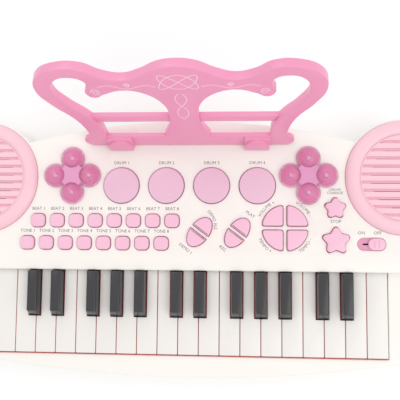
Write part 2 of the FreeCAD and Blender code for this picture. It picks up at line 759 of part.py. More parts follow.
def upper_casing():
    shell = casing_solid(0, PARTING_Z, DECK_Z).cut(casing_solid(WALL, PARTING_Z, DECK_UNDER_Z))
    shell = shell.cut(box(-FAR, FAR, -FAR, STEP_Y, RIM_Z, DECK_Z + 1))
    rim = casing_solid(0, RIM_Z - WALL, RIM_Z).common(box(-FAR, FAR, -FAR, WELL_BACK_Y, 0, FAR))
    step = casing_solid(0, RIM_Z - WALL, DECK_Z)
    step = step.common(box(-FAR, FAR, STEP_Y, WELL_BACK_Y, 0, FAR))
    well = box(-WELL_HALF - WELL_WALL, WELL_HALF + WELL_WALL, -WELL_FRONT_GAP - WELL_WALL,
               WELL_BACK_Y, WELL_FLOOR_Z, RIM_Z)
    switch_pad = box(SWITCH_X - SWITCH_L / 2 - WALL, SWITCH_X + SWITCH_L / 2 + WALL,
                     SWITCH_Y - SWITCH_W / 2 - WALL, SWITCH_Y + SWITCH_W / 2 + WALL,
                     DECK_UNDER_Z - SWITCH_DEEP, DECK_Z)
    sockets = [lean_back(socket(x)) for x in (-HOOD_X, HOOD_X)]
    bosses = [upper_boss(x, y) for x, y in boss_places()]
    casing = fuse([shell, rim, step, well, switch_pad] + bosses + sockets)
    opening = box(-WELL_HALF, WELL_HALF, -WELL_FRONT_GAP, WELL_BACK_Y, 0, WHITE_TOP_Z + LIP_GAP)
    above = casing_solid(0, DECK_Z, DECK_Z + FAR)
    slots = [lean_back(tongue(x, SOCKET_GAP, -TONGUE_L - 1, BAR_H)) for x in (-HOOD_X, HOOD_X)]
    bores = [cylinder(x, y, SCREW_R + ROD_FIT, PARTING_Z, PARTING_Z + SCREW_BITE + 0.5)
             for x, y in boss_places()]
    return casing.cut([opening, above] + slots + bores + deck_holes())


def lower_casing():
    shell = casing_solid(0, BOTTOM_Z, PARTING_Z).cut(casing_solid(WALL, FLOOR_Z, PARTING_Z))
    feet = [cylinder(side * x, y, FOOT_R, 0, FLOOR_Z) for x, y in FOOT_POS for side in (1, -1)]
    bosses = [cylinder(x, y, BOSS_R, BOTTOM_Z, PARTING_Z) for x, y in boss_places()]
    outer_x, outer_y = BOX_HALF_X + BOX_WALL + DOOR_LEDGE, BOX_HALF_Y + BOX_WALL + DOOR_LEDGE
    tray = box(-outer_x, outer_x, BOX_MID_Y - outer_y, BOX_MID_Y + outer_y, BOTTOM_Z,
               BOX_TOP_Z + BOX_WALL)
    tab_boss = cylinder(0, door_screw_y(), BOSS_R, FLOOR_Z, BOX_TOP_Z)
    saddles = [box(x - SADDLE_T / 2, x + SADDLE_T / 2, PIVOT_BACK - BARREL_R,
                   PIVOT_BACK + BARREL_R, BOTTOM_Z, PIVOT_Z + BARREL_R)
               for x in saddle_places() + [-WELL_HALF - SADDLE_T, WELL_HALF + SADDLE_T]]
    rests = [box(x - SADDLE_T / 2, x + SADDLE_T / 2, PLUNGER_Y - KEY_BOARD_W / 2,
                 PLUNGER_Y + KEY_BOARD_W / 2, BOTTOM_Z, KEY_BOARD_Z) for x in saddle_places()]
    casing = fuse([shell, tray, tab_boss] + feet + bosses + saddles + rests)
    hollow = box(-BOX_HALF_X, BOX_HALF_X, BOX_MID_Y - BOX_HALF_Y, BOX_MID_Y + BOX_HALF_Y,
                 BOTTOM_Z, BOX_TOP_Z)
    rod_hole = Part.makeCylinder(ROD_R + ROD_FIT, 2 * FAR, Vector(-FAR, PIVOT_BACK, PIVOT_Z),
                                 Vector(1, 0, 0))
    wells = [cylinder(x, y, SCREW_HEAD_R + 0.4, BOTTOM_Z, SCREW_SEAT_Z)
             for x, y in boss_places()]
    bores = [cylinder(x, y, SCREW_R + 0.3, BOTTOM_Z, PARTING_Z) for x, y in boss_places()]
    bores.append(cylinder(0, door_screw_y(), SCREW_R + ROD_FIT, BOTTOM_Z,
                          FLOOR_Z + SCREW_BITE + 0.5))
    return casing.cut([hollow, door_blank(DOOR_GAP), rod_hole] + wells + bores)


def door_screw_y():
    return BOX_MID_Y + BOX_HALF_Y + BOX_WALL + DOOR_LEDGE + DOOR_TAB / 2


def door_blank(grow):
    """Battery door with its screw tab, or with grow the recess that it closes."""
    half_x, half_y = BOX_HALF_X + DOOR_LEDGE + grow, BOX_HALF_Y + DOOR_LEDGE + grow
    panel = box(-half_x, half_x, BOX_MID_Y - half_y, BOX_MID_Y + half_y, BOTTOM_Z, FLOOR_Z)
    tab = box(-DOOR_TAB_W / 2 - grow, DOOR_TAB_W / 2 + grow, BOX_MID_Y,
              door_screw_y() + DOOR_TAB / 2 + grow, BOTTOM_Z, FLOOR_Z)
    return panel.fuse(tab).removeSplitter()


def battery_door():
    door = door_blank(0)
    door = door.cut(cylinder(0, door_screw_y(), SCREW_R + 0.3, BOTTOM_Z, FLOOR_Z))
    return door.cut(cylinder(0, door_screw_y(), SCREW_HEAD_R + 0.2, BOTTOM_Z, BOTTOM_Z + 1.2))


# Inner pieces

def batteries():
    cells = []
    for x in (-CELL_L / 2 - CELL_GAP / 2, CELL_L / 2 + CELL_GAP / 2):
        for y in (-CELL_R - CELL_GAP / 2, CELL_R + CELL_GAP / 2):
            cells.append(Part.makeCylinder(
                CELL_R, CELL_L, Vector(x - CELL_L / 2, BOX_MID_Y + y, FLOOR_Z + CELL_R + CELL_GAP),
                Vector(1, 0, 0)))
    return Part.makeCompound(cells)


def circuit_boards():
    main = box(-MAIN_BOARD_HALF, MAIN_BOARD_HALF, MAIN_BOARD_Y[0], MAIN_BOARD_Y[1],
               MAIN_BOARD_Z, BOARD_TOP_Z)
    ear = box(MAIN_BOARD_HALF - 1, SWITCH_BOARD_X, MAIN_BOARD_Y[0], SWITCH_BOARD_Y,
              MAIN_BOARD_Z, BOARD_TOP_Z)
    keys = box(-WELL_HALF + 2, WELL_HALF - 2, PLUNGER_Y - KEY_BOARD_W / 2,
               PLUNGER_Y + KEY_BOARD_W / 2, KEY_BOARD_Z, KEY_BOARD_Z + BOARD_T)
    return Part.makeCompound([main.fuse(ear).removeSplitter(), keys])


def contact_strip():
    low = KEY_BOARD_Z + BOARD_T
    strip = box(-WELL_HALF + 3, WELL_HALF - 3, PLUNGER_Y - STRIP_W / 2, PLUNGER_Y + STRIP_W / 2,
                low, low + STRIP_T)
    domes = [cylinder(x, PLUNGER_Y, DOME_R, low, low + STRIP_T + DOME_H) for x in key_middles()]
    return fuse([strip] + domes)


def pivot_rod():
    half = WELL_HALF + 2 * SADDLE_T
    return Part.makeCylinder(ROD_R, 2 * half, Vector(-half, PIVOT_BACK, PIVOT_Z), Vector(1, 0, 0))


def screw(x, y, seat_z, tip_z):
    head = cylinder(x, y, SCREW_HEAD_R, seat_z - SCREW_HEAD_H, seat_z)
    return head.fuse(cylinder(x, y, SCREW_R, seat_z, tip_z)).removeSplitter()


def casing_screws():
    screws = [screw(x, y, SCREW_SEAT_Z, PARTING_Z + SCREW_BITE) for x, y in boss_places()]
    screws.append(screw(0, door_screw_y(), BOTTOM_Z + 1.2, FLOOR_Z + SCREW_BITE))
    return Part.makeCompound(screws)


def build():
    os.makedirs("parts", exist_ok=True)
    save("upper_casing", upper_casing())
    save("lower_casing", lower_casing())
    save("battery_door", battery_door())
    for i in range(WHITE_COUNT):
        save("white_key_%02d" % (i + 1), white_key(i))
    for i, x in enumerate(black_centres().values()):
        save("black_key_%02d" % (i + 1), black_key(x))
    for name, outline, rise in controls():
        save(name, control(outline, rise))
    save("rhythm_buttons", button_row(RHYTHM_X, RHYTHM_Y))
    save("tone_buttons", button_row(TONE_X, TONE_Y))
    save("power_switch_knob", power_knob())
    save("flower_lenses", both_sides(flower_lens()))
    save("speaker_grilles", both_sides(grille()))
    save("speaker_drivers", both_sides(driver()))
    save("music_stand", music_stand())
    save("batteries", batteries())
    save("circuit_boards", circuit_boards())
    save("contact_strip", contact_strip())
    save("key_pivot_rod", pivot_rod())
    save("casing_screws", casing_screws())


build()
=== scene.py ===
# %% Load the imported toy
import json
import math
import bmesh
import bpy
from mathutils import Matrix, Vector


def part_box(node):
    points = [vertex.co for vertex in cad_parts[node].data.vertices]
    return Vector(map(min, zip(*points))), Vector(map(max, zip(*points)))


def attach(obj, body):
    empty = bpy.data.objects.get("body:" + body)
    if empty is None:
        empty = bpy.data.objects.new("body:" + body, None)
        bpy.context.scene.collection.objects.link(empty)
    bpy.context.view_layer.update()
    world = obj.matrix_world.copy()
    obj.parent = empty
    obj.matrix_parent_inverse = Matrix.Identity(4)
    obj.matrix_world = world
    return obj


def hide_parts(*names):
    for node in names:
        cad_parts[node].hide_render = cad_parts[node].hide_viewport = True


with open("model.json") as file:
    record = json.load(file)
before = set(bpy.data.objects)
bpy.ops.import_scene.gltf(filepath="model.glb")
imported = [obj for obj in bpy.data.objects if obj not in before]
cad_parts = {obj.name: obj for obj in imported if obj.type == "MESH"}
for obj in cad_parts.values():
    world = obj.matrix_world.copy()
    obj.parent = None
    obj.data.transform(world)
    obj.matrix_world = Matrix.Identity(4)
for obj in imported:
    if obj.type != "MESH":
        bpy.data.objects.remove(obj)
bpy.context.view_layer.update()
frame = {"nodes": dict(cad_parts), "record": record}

MM = 0.001

# %% [markdown]
# The scene is a toy keyboard that lies on a pale table and is seen from above, a little from the
# front.  The CAD model already holds every size, so each piece here starts from a CAD node or
# from a box that the frame gives.  First come a few helpers: one turns a web colour into the
# linear numbers that Blender mixes with, one adds a shader node, and one hangs a piece on its
# moving body.


# %% Helpers for colour and shader nodes
def linear(hex_colour, alpha=1.0):
    """An sRGB hex colour as linear RGBA."""
    parts = [int(hex_colour[i:i + 2], 16) / 255 for i in (1, 3, 5)]
    return [c / 12.92 if c <= 0.04045 else ((c + 0.055) / 1.055) ** 2.4 for c in parts] + [alpha]


def add_node(tree, kind, settings=None, **inputs):
    """Adds a shader node; inputs are values, or sockets to link from."""
    node = tree.nodes.new(kind)
    for key, value in (settings or {}).items():
        setattr(node, key, value)
    for name, value in inputs.items():
        socket = node.inputs[name.replace("_", " ")]
        if isinstance(value, bpy.types.NodeSocket):
            tree.links.new(value, socket)
        else:
            socket.default_value = value
    return node


# %% [markdown]
# Almost everything here is injection-moulded ABS.  Moulded plastic isn't one flat colour: the
# resin clouds very slightly, the tool leaves a fine grain, and handling changes the gloss from
# place to place.  So each plastic gets three patterns in Object coordinates: a cloud that shifts
# the colour, a cloud that shifts the roughness, and a grain that feeds a bump.  The scales are
# worked out from real sizes in millimetres.  The alternative, an image texture, would need UV
# maps on every key and cap.


# %% A function for moulded plastics
def moulded(name, colour, shade, rough, grain_mm=0.6, grain_depth_mm=0.006, cloud_mm=45, ior=1.53,
            coat=0.0):
    """Moulded plastic: colour clouds towards shade, roughness wanders, and a fine grain bumps."""
    material = bpy.data.materials.new(name)
    material.use_nodes = True
    tree = material.node_tree
    surface = tree.nodes["Principled BSDF"]
    place = add_node(tree, "ShaderNodeTexCoord").outputs["Object"]
    cloud = add_node(tree, "ShaderNodeTexNoise", Vector=place, Scale=1 / (cloud_mm * MM),
                     Detail=3.0)
    tint = add_node(tree, "ShaderNodeMix", {"data_type": "RGBA"}, Factor=cloud.outputs["Fac"])
    tint.inputs[6].default_value = linear(colour)
    tint.inputs[7].default_value = linear(shade)
    tree.links.new(tint.outputs[2], surface.inputs["Base Color"])
    handled = add_node(tree, "ShaderNodeTexNoise", Vector=place, Scale=1 / (cloud_mm * MM / 4))
    gloss = add_node(tree, "ShaderNodeMapRange", Value=handled.outputs["Fac"], To_Min=rough * 0.85,
                     To_Max=rough * 1.15)
    tree.links.new(gloss.outputs["Result"], surface.inputs["Roughness"])
    grain = add_node(tree, "ShaderNodeTexNoise", Vector=place, Scale=1 / (grain_mm * MM),
                     Detail=2.0)
    bump = add_node(tree, "ShaderNodeBump", Height=grain.outputs["Fac"], Strength=0.5,
                    Distance=grain_depth_mm * MM)
    tree.links.new(bump.outputs["Normal"], surface.inputs["Normal"])
    surface.inputs["IOR"].default_value = ior
    surface.inputs["Coat Weight"].default_value = coat
    surface.inputs["Coat Roughness"].default_value = 0.1
    return material


# %% [markdown]
# One call for each plastic of the toy gives its two colours and its roughness.  Polished tools
# leave a roughness near 0.3 on caps, keys and pads, a satin tool about 0.4 on the casing, and
# printed ink, rubber and paper are duller still.  The names say the material and its finish.


# %% The plastics of the toy
casing_abs = moulded("ivory_abs_satin", "#f9f5f0", "#f3efe8", 0.42)
white_key_abs = moulded("white_key_abs_polished", "#f1ede9", "#eae6e1", 0.30, grain_mm=1.2)
black_key_abs = moulded("black_key_abs_polished", "#3a3a3d", "#2e2e31", 0.24, grain_mm=1.0,
                        grain_depth_mm=0.008)
pink_cap_abs = moulded("pink_cap_abs_polished", "#f6c6da", "#f2bbd3", 0.30)
pad_abs = moulded("drum_pad_abs_polished", "#edc4d8", "#e8bad2", 0.26)
grille_abs = moulded("speaker_grille_abs_satin", "#f9cfda", "#f6c5d2", 0.36)
stand_abs = moulded("music_stand_abs_polished", "#f3a1c3", "#ee96ba", 0.30)
pocket_abs = moulded("switch_pocket_abs_satin", "#e6a2bf", "#de98b6", 0.45)
# The LED foot's dark colour is partly its own and partly painted shade round the LED's base.
led_foot_dark_and_shade = moulded("led_foot_dark_abs_painted_shade", "#7a2c50", "#6a2444", 0.4)
# The dark rose ring at each grille's foot is painted shadow: a dark line where the grille meets the
# deck.
shadow_line_rose = moulded("grille_foot_painted_shadow_rose", "#c4617d", "#b85672", 0.6)
liner_abs = moulded("red_liner_abs_matt", "#d8322c", "#c22824", 0.5)
dark_paper = moulded("speaker_cone_pressed_paper", "#7a6f73", "#6a6064", 0.8, grain_depth_mm=0.03)
board_mask = moulded("circuit_board_solder_mask", "#1e6b3c", "#195c34", 0.4)
strip_silicone = moulded("contact_strip_silicone", "#9fa4aa", "#8f949b", 0.6)
cell_sleeve = moulded("battery_sleeve_film", "#3d4652", "#2d343d", 0.3)
legend_ink = moulded("legend_ink_pad_printed", "#6f6466", "#645a5c", 0.6)
flourish_ink = moulded("flourish_ink_pad_printed", "#fddde8", "#fbd2e0", 0.5)
print("plastics:", len(bpy.data.materials))

# %% [markdown]
# Steel screws and the pivot rod are turned and zinc plated.  Zinc on steel is a fine-grained
# metal with a light blue-grey colour, and turning leaves rings too fine to see, so one noise in
# the roughness is enough.


# %% Zinc-plated steel
def zinc_steel():
    material = bpy.data.materials.new("zinc_plated_steel")
    material.use_nodes = True
    tree = material.node_tree
    surface = tree.nodes["Principled BSDF"]
    place = add_node(tree, "ShaderNodeTexCoord").outputs["Object"]
    plating = add_node(tree, "ShaderNodeTexNoise", Vector=place, Scale=1 / (0.8 * MM))
    gloss = add_node(tree, "ShaderNodeMapRange", Value=plating.outputs["Fac"], To_Min=0.25,
                     To_Max=0.45)
    tree.links.new(gloss.outputs["Result"], surface.inputs["Roughness"])
    surface.inputs["Base Color"].default_value = linear("#c9ccd0")
    surface.inputs["Metallic"].default_value = 1.0
    return material


steel = zinc_steel()

# %% [markdown]
# The flower lamps are moulded in clear magenta styrene.  A refracting shader stops the studio's
# light from reaching what lies under the dome, which then turns nearly black.  A lower alpha lets
# light straight through instead, and the gloss on the surface stays.  Real clear styrene has an
# index of about 1.59.


# %% Translucent styrene and the LED's epoxy
def translucent(name, colour, shade, cover, rough, ior):
    """Clear plastic: cover is the share of light that it stops."""
    material = moulded(name, colour, shade, rough, grain_mm=3.0, grain_depth_mm=0.01, ior=ior,
                       coat=0.5)
    surface = material.node_tree.nodes["Principled BSDF"]
    surface.inputs["Alpha"].default_value = cover
    return material


lens_styrene = translucent("magenta_styrene_clear", "#f7a9d2", "#f29dca", 0.34, 0.06, 1.59)
middle_styrene = moulded("lilac_styrene_frosted", "#e5a1c9", "#df97c2", 0.25, ior=1.59)
reflector_styrene = moulded("reflector_magenta_styrene", "#ea70ab", "#e262a0", 0.3, ior=1.59)
led_epoxy = moulded("led_epoxy_clear", "#ffffff", "#fbf4f8", 0.08, ior=1.55, coat=0.5)

# %% [markdown]
# A CAD node comes in as loose triangles with knife-sharp edges.  Real mouldings have a small
# radius everywhere, and that radius is what catches the light.  A copy of the node is merged,
# its flat triangles are dissolved into whole faces, and its sharp outward edges are bevelled.
# That keeps every size of the CAD part and only softens its corners.


# %% Soften the edges of a CAD node
SMOOTH_DEG = 30              # faces that turn by less than this shade as one surface
SHARP_DEG = 35               # edges that turn by more than this get a radius


def merged_copy(node):
    """A closed copy of a CAD node's mesh, with its flat faces whole again."""
    bm = bmesh.new()
    bm.from_mesh(frame["nodes"][node].data)
    bmesh.ops.remove_doubles(bm, verts=bm.verts, dist=0.002 * MM)
    bmesh.ops.dissolve_limit(bm, angle_limit=math.radians(0.5), verts=bm.verts, edges=bm.edges,
                             use_dissolve_boundaries=False)
    return bm


def sharp_edges(bm, test=lambda middle, edge: True):
    """Outward edges that are sharp and pass the test."""
    found = []
    for edge in bm.edges:
        if len(edge.link_faces) != 2 or not edge.is_convex:
            continue
        if edge.calc_face_angle(0) > math.radians(SHARP_DEG):
            if test((edge.verts[0].co + edge.verts[1].co) / 2, edge):
                found.append(edge)
    return found


def bevel(bm, edges, width_mm, segments=3):
    bmesh.ops.bevel(bm, geom=edges, offset=width_mm * MM, offset_type="OFFSET", segments=segments,
                    profile=0.5, affect="EDGES", clamp_overlap=False, material=-1)


def pulled(bm, faces, way_mm):
    """Extrudes faces and moves the new ones by a vector in mm."""
    made = bmesh.ops.extrude_face_region(bm, geom=faces)
    moved = [v for v in made["geom"] if isinstance(v, bmesh.types.BMVert)]
    bmesh.ops.translate(bm, vec=Vector(way_mm) * MM, verts=moved)


def place_piece(bm, name, body, material, replaces=None):
    """Turns a bmesh into a finished piece that rides on a body."""
    mesh = bpy.data.meshes.new(name)
    bm.to_mesh(mesh)
    bm.free()
    mesh.materials.append(material)
    piece = bpy.data.objects.new(name, mesh)
    bpy.context.scene.collection.objects.link(piece)
    mesh.shade_smooth()
    mesh.set_sharp_from_angle(angle=math.radians(SMOOTH_DEG))
    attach(piece, body)
    if replaces:
        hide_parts(replaces)
    return piece


def body_of_node(node):
    return next(body for body, nodes in frame["record"]["behaviour"]["bodies"].items()
                if node in nodes)


def softened(node, material, width_mm, test=lambda middle, edge: True, segments=3):
    """A copy of a CAD node with rounded edges, which stands for it."""
    bm = merged_copy(node)
    bevel(bm, sharp_edges(bm, test), width_mm, segments)
    return place_piece(bm, node + "_moulding", body_of_node(node), material, replaces=node)

# %% [markdown]
# The camera stands almost straight above the toy, a little right of its middle and a little to
# the front, as in a catalogue picture.  A 54 mm lens from half a metre keeps the gentle
# perspective that makes the leaning music stand look long.  The turn is one rotation about a
# tilted axis, which is easier to read than three Euler angles.


# %% Camera
LENS_MM = 54.0
CAMERA_PLACE = Vector((40.8, -12.8, 510.5)) * MM
CAMERA_TURN = Vector((math.radians(5.17), math.radians(3.87), math.radians(0.35)))
camera_data = bpy.data.cameras.new("camera")
camera_data.lens = LENS_MM
camera = bpy.data.objects.new("camera", camera_data)
bpy.context.scene.collection.objects.link(camera)
camera.location = CAMERA_PLACE
camera.rotation_mode = "QUATERNION"
camera.rotation_quaternion = Matrix.Rotation(CAMERA_TURN.length, 3, CAMERA_TURN).to_quaternion()
bpy.context.scene.camera = camera
print("camera at", [round(v, 3) for v in camera.location])

# %% [markdown]
# The toy lies on white laminate in a white studio.  Nearly all the light comes from the white
# world, which wraps round the toy and leaves only soft contact shadows.  Two large area lights
# add direction: one behind the toy on the left makes top edges shine a little, and a stronger
# one at the front on the right fills the shadows.  A small lamp would throw hard shadows that a
# soft box doesn't.


# %% Table and light
WORLD_STRENGTH = 0.85
KEY_WATTS = 4.0
FILL_WATTS = 6.0
TABLE_SIZE = 1.5             # metres


def table_top():
    bm = bmesh.new()
    bmesh.ops.create_grid(bm, x_segments=1, y_segments=1, size=TABLE_SIZE)
    mesh = bpy.data.meshes.new("table_top")
    bm.to_mesh(mesh)
    bm.free()
    mesh.materials.append(moulded("table_top_white_laminate", "#ffffff", "#fdfdfd", 0.7))
    table = bpy.data.objects.new("table_top", mesh)
    bpy.context.scene.collection.objects.link(table)


def soft_box(name, place, size, watts):
    """A square studio light that looks at the toy."""
    data = bpy.data.lights.new(name, "AREA")
    data.size = size
    data.energy = watts
    light = bpy.data.objects.new(name, data)
    bpy.context.scene.collection.objects.link(light)
    light.location = place
    light.rotation_euler = (-Vector(place)).to_track_quat("-Z", "Y").to_euler()


table_top()
soft_box("key_soft_box", (-0.6, 0.9, 1.5), 1.0, KEY_WATTS)
soft_box("fill_soft_box", (0.9, -0.5, 1.4), 1.2, FILL_WATTS)
world = bpy.data.worlds.new("studio")
bpy.context.scene.world = world
world.use_nodes = True
world.node_tree.nodes["Background"].inputs["Color"].default_value = (1, 1, 1, 1)
world.node_tree.nodes["Background"].inputs["Strength"].default_value = WORLD_STRENGTH
bpy.context.scene.view_settings.view_transform = "Standard"
print("lights:", len(bpy.data.lights))

# %% [markdown]
# Every place below comes from the boxes of the CAD nodes: the deck's height is the top of the
# upper casing, the middle of a button is the middle of its box, and the fronts of the white keys
# are the line that depths are measured from.


# %% Places that the frame gives
DECK_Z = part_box("upper_casing")[1][2] / MM
KEY_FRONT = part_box("white_key_01")[0][1] / MM
WHITE_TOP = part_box("white_key_01")[1][2] / MM


def middle_of(*nodes):
    """Middle of the box round some nodes, in mm."""
    low = [min(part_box(node)[0][i] for node in nodes) for i in range(3)]
    high = [max(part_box(node)[1][i] for node in nodes) for i in range(3)]
    return Vector([(a + b) / 2 / MM for a, b in zip(low, high)])


def size_of(node):
    low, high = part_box(node)
    return Vector([(b - a) / MM for a, b in zip(low, high)])


print("deck %.1f mm, white keys %.1f mm" % (DECK_Z, WHITE_TOP))

# %% [markdown]
# The casing is two mouldings, an upper and a lower, that meet at a fine seam round the sides.
# Their CAD copies only need soft edges: about 1.2 mm on the tall outer rim and 0.3 mm round every
# hole, which is what a polished steel tool leaves.


# %% Casings
TALL = 4.0                   # walls higher than this get the larger radius


def tall_side(edge):
    """True where one of the edge's faces is a high wall."""
    for face in edge.link_faces:
        heights = [v.co.z for v in face.verts]
        if abs(face.normal.z) < 0.2 and max(heights) - min(heights) > TALL * MM:
            return True
    return False


def level(edge):
    return abs(edge.verts[0].co.z - edge.verts[1].co.z) < 0.1 * MM


def upper_moulding():
    bm = merged_copy("upper_casing")
    rim_z = (WHITE_TOP - 3) * MM
    bevel(bm, sharp_edges(bm, lambda m, e: tall_side(e) and m.z > rim_z and level(e)), 1.2, 4)
    bevel(bm, sharp_edges(bm, lambda m, e: m.z > rim_z + 0.9 * MM), 0.3, 2)
    return place_piece(bm, "upper_casing_moulding", "casing", casing_abs,
                       replaces="upper_casing")


upper = upper_moulding()
lower = softened("lower_casing", casing_abs, 1.0, lambda m, e: m.z < 2.1 * MM and tall_side(e))
softened("battery_door", casing_abs, 0.3)
print("casings:", len(upper.data.polygons), len(lower.data.polygons), "faces")

# %% [markdown]
# Piano keys on a toy are hollow ABS mouldings.  White keys have nearly sharp edges, black keys a
# larger radius that shows as a light line round their tops.  Caps and pads are rounder still, so
# that a small finger finds nothing sharp.  One bevel with its own width does each of them.


# %% Keys and caps
for node in sorted(frame["nodes"]):
    if node.startswith("white_key"):
        softened(node, white_key_abs, 0.45, lambda m, e: m.z > (WHITE_TOP - 6) * MM)
    elif node.startswith("black_key"):
        softened(node, black_key_abs, 0.7, lambda m, e: m.z > (WHITE_TOP + 0.5) * MM)
    elif node.startswith("drum_pad"):
        softened(node, pad_abs, 0.9, lambda m, e: m.z > (DECK_Z + 1) * MM, 4)
    elif node.endswith(("_button", "_buttons")):
        softened(node, pink_cap_abs, 1.0, lambda m, e: m.z > (DECK_Z + 1) * MM, 4)

# %% [markdown]
# Between the keys shows a thin red line: the edge of the red tray that the keys lie in, with a
# low fin in every gap.  Each fin is a cube squeezed to a blade, 0.25 mm thick in a gap of 0.6 mm,
# so keys pass it freely.  They all share one mesh, because on the real toy they are one moulding.


# %% Red fins in the key gaps
FIN_T = 0.25
FIN_TOP = WHITE_TOP - 0.75
FIN_H = 5.0
GAP = 0.6
BLACK_LEN = 35.4             # of a black key in front of the deck's step


def blade(bm, x0, x1, y0, y1, z0, z1):
    """A box between two corners in mm."""
    made = bmesh.ops.create_cube(bm, size=1.0)
    bmesh.ops.scale(bm, vec=Vector((x1 - x0, y1 - y0, z1 - z0)) * MM, verts=made["verts"])
    bmesh.ops.translate(bm, vec=Vector((x0 + x1, y0 + y1, z0 + z1)) * MM / 2, verts=made["verts"])
    return made["verts"]


def key_fins():
    bm = bmesh.new()
    whites = sorted(node for node in frame["nodes"] if node.startswith("white_key"))
    blacks = sorted(node for node in frame["nodes"] if node.startswith("black_key"))
    low, high = FIN_TOP - FIN_H, FIN_TOP
    black_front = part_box(blacks[0])[0][1] / MM
    deck_step = black_front + BLACK_LEN
    for left, right in zip(whites, whites[1:]):
        x = (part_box(left)[1][0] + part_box(right)[0][0]) / 2 / MM
        shared = any(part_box(node)[0][0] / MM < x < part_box(node)[1][0] / MM for node in blacks)
        end = black_front - 1.0 if shared else deck_step
        blade(bm, x - FIN_T / 2, x + FIN_T / 2, KEY_FRONT + 0.3, end, low, high)
    for node in blacks:
        for x in (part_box(node)[0][0] / MM - GAP / 2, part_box(node)[1][0] / MM + GAP / 2):
            blade(bm, x - FIN_T / 2, x + FIN_T / 2, black_front + 0.2, deck_step, low, high)
    left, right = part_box(whites[0])[0][0] / MM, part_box(whites[-1])[1][0] / MM
    blade(bm, left, right, KEY_FRONT - 0.6, KEY_FRONT - 0.35, low, high)
    return place_piece(bm, "key_tray_fins", "casing", liner_abs)


fins = key_fins()
print("fins:", len(fins.data.polygons) // 6)

# %% [markdown]
# A lathe turns a profile about an upright axis, and Blender's spin does the same to a chain of
# edges.  The speaker's ring, the flower's domes and the LEDs are all turned shapes, so one helper
# makes them.  After a full spin the seam is merged and the faces are turned outwards.


# %% A lathe
def join(bm, other):
    """Adds another bmesh to this one."""
    mesh = bpy.data.meshes.new("joining")
    other.to_mesh(mesh)
    other.free()
    bm.from_mesh(mesh)
    bpy.data.meshes.remove(mesh)


def lathe(bm, profile, centre, steps=72):
    """Spins a closed profile of (radius, height) in mm about an upright axis at centre."""
    turned = bmesh.new()
    chain = [turned.verts.new(Vector((r, 0, z)) * MM) for r, z in profile]
    edges = []
    for start, end in zip(chain, chain[1:] + chain[:1]):
        if start.co.x > 0 or end.co.x > 0:
            edges.append(turned.edges.new((start, end)))
    bmesh.ops.spin(turned, geom=chain + edges, cent=(0, 0, 0), axis=(0, 0, 1), angle=math.tau,
                   steps=steps, use_merge=True)
    bmesh.ops.remove_doubles(turned, verts=turned.verts, dist=0.001 * MM)
    bmesh.ops.recalc_face_normals(turned, faces=turned.faces)
    bmesh.ops.translate(turned, vec=Vector(centre) * MM, verts=turned.verts)
    join(bm, turned)


# %% [markdown]
# Each speaker sits behind a round grille: a domed ring, and inside it a disc with sunk louvres.
# Every louvre is a shallow groove with a narrow slit along its lower edge, where the sound comes
# out.  The disc starts as one circle.  Straight cuts divide it, the grooves are extruded
# downwards, the slits are cut out, and solidify gives the sheet its thickness.


# %% Speaker grilles
GRILLE_R = size_of("speaker_grilles").y / 2
GRILLE_MID = Vector((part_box("speaker_grilles")[1][0] / MM - GRILLE_R,
                     middle_of("speaker_grilles").y, DECK_Z))
FIELD_R = 33.5
FIELD_TOP = 2.5
RING_BULGE = 3.2
RING_FOOT = 1.0              # height of the ring's outer foot
LEDGE_W = 1.2
LEDGE_H = 0.5
GROOVE_H = 2.3
GROOVE_PITCH = 6.3
GROOVE_COUNT = 10
GROOVE_LOWEST = -28.9
GROOVE_DEEP = 1.9
GROOVE_END_R = 32.4          # the grooves end on this circle
SLIT_H = 0.55
SLIT_INSET = 7.5
SHEET_T = 0.9
RIM_SEGMENTS = 120
# Size of the thin dark rose ring that paints the shadow line round each grille's foot.
SHADOW_LINE_OUT = 0.25
SHADOW_LINE_H = 0.15


def ring_profile():
    """Cross-section of the domed ring, with a ledge under the disc."""
    width = GRILLE_R - FIELD_R
    profile = [(FIELD_R - LEDGE_W, 0), (FIELD_R - LEDGE_W, LEDGE_H), (FIELD_R, LEDGE_H)]
    for k in range(13):
        turn = math.pi * k / 12
        share = (1 - math.cos(turn)) / 2
        height = FIELD_TOP * (1 - share) + RING_FOOT * share + RING_BULGE * math.sin(turn)
        profile.append((FIELD_R + width * share, height))
    return profile + [(GRILLE_R, 0)]


def cut_across(bm, faces, point, normal):
    geom = list(faces) + [e for f in faces for e in f.edges] + [v for f in faces for v in f.verts]
    bmesh.ops.bisect_plane(bm, geom=list(dict.fromkeys(geom)), dist=1e-7, plane_co=point,
                           plane_no=normal)


def in_band(face, low, high):
    """True for a face of the inner disc between two heights."""
    middle = face.calc_center_median()
    return low * MM < middle.y < high * MM and middle.xy.length < GROOVE_END_R * MM


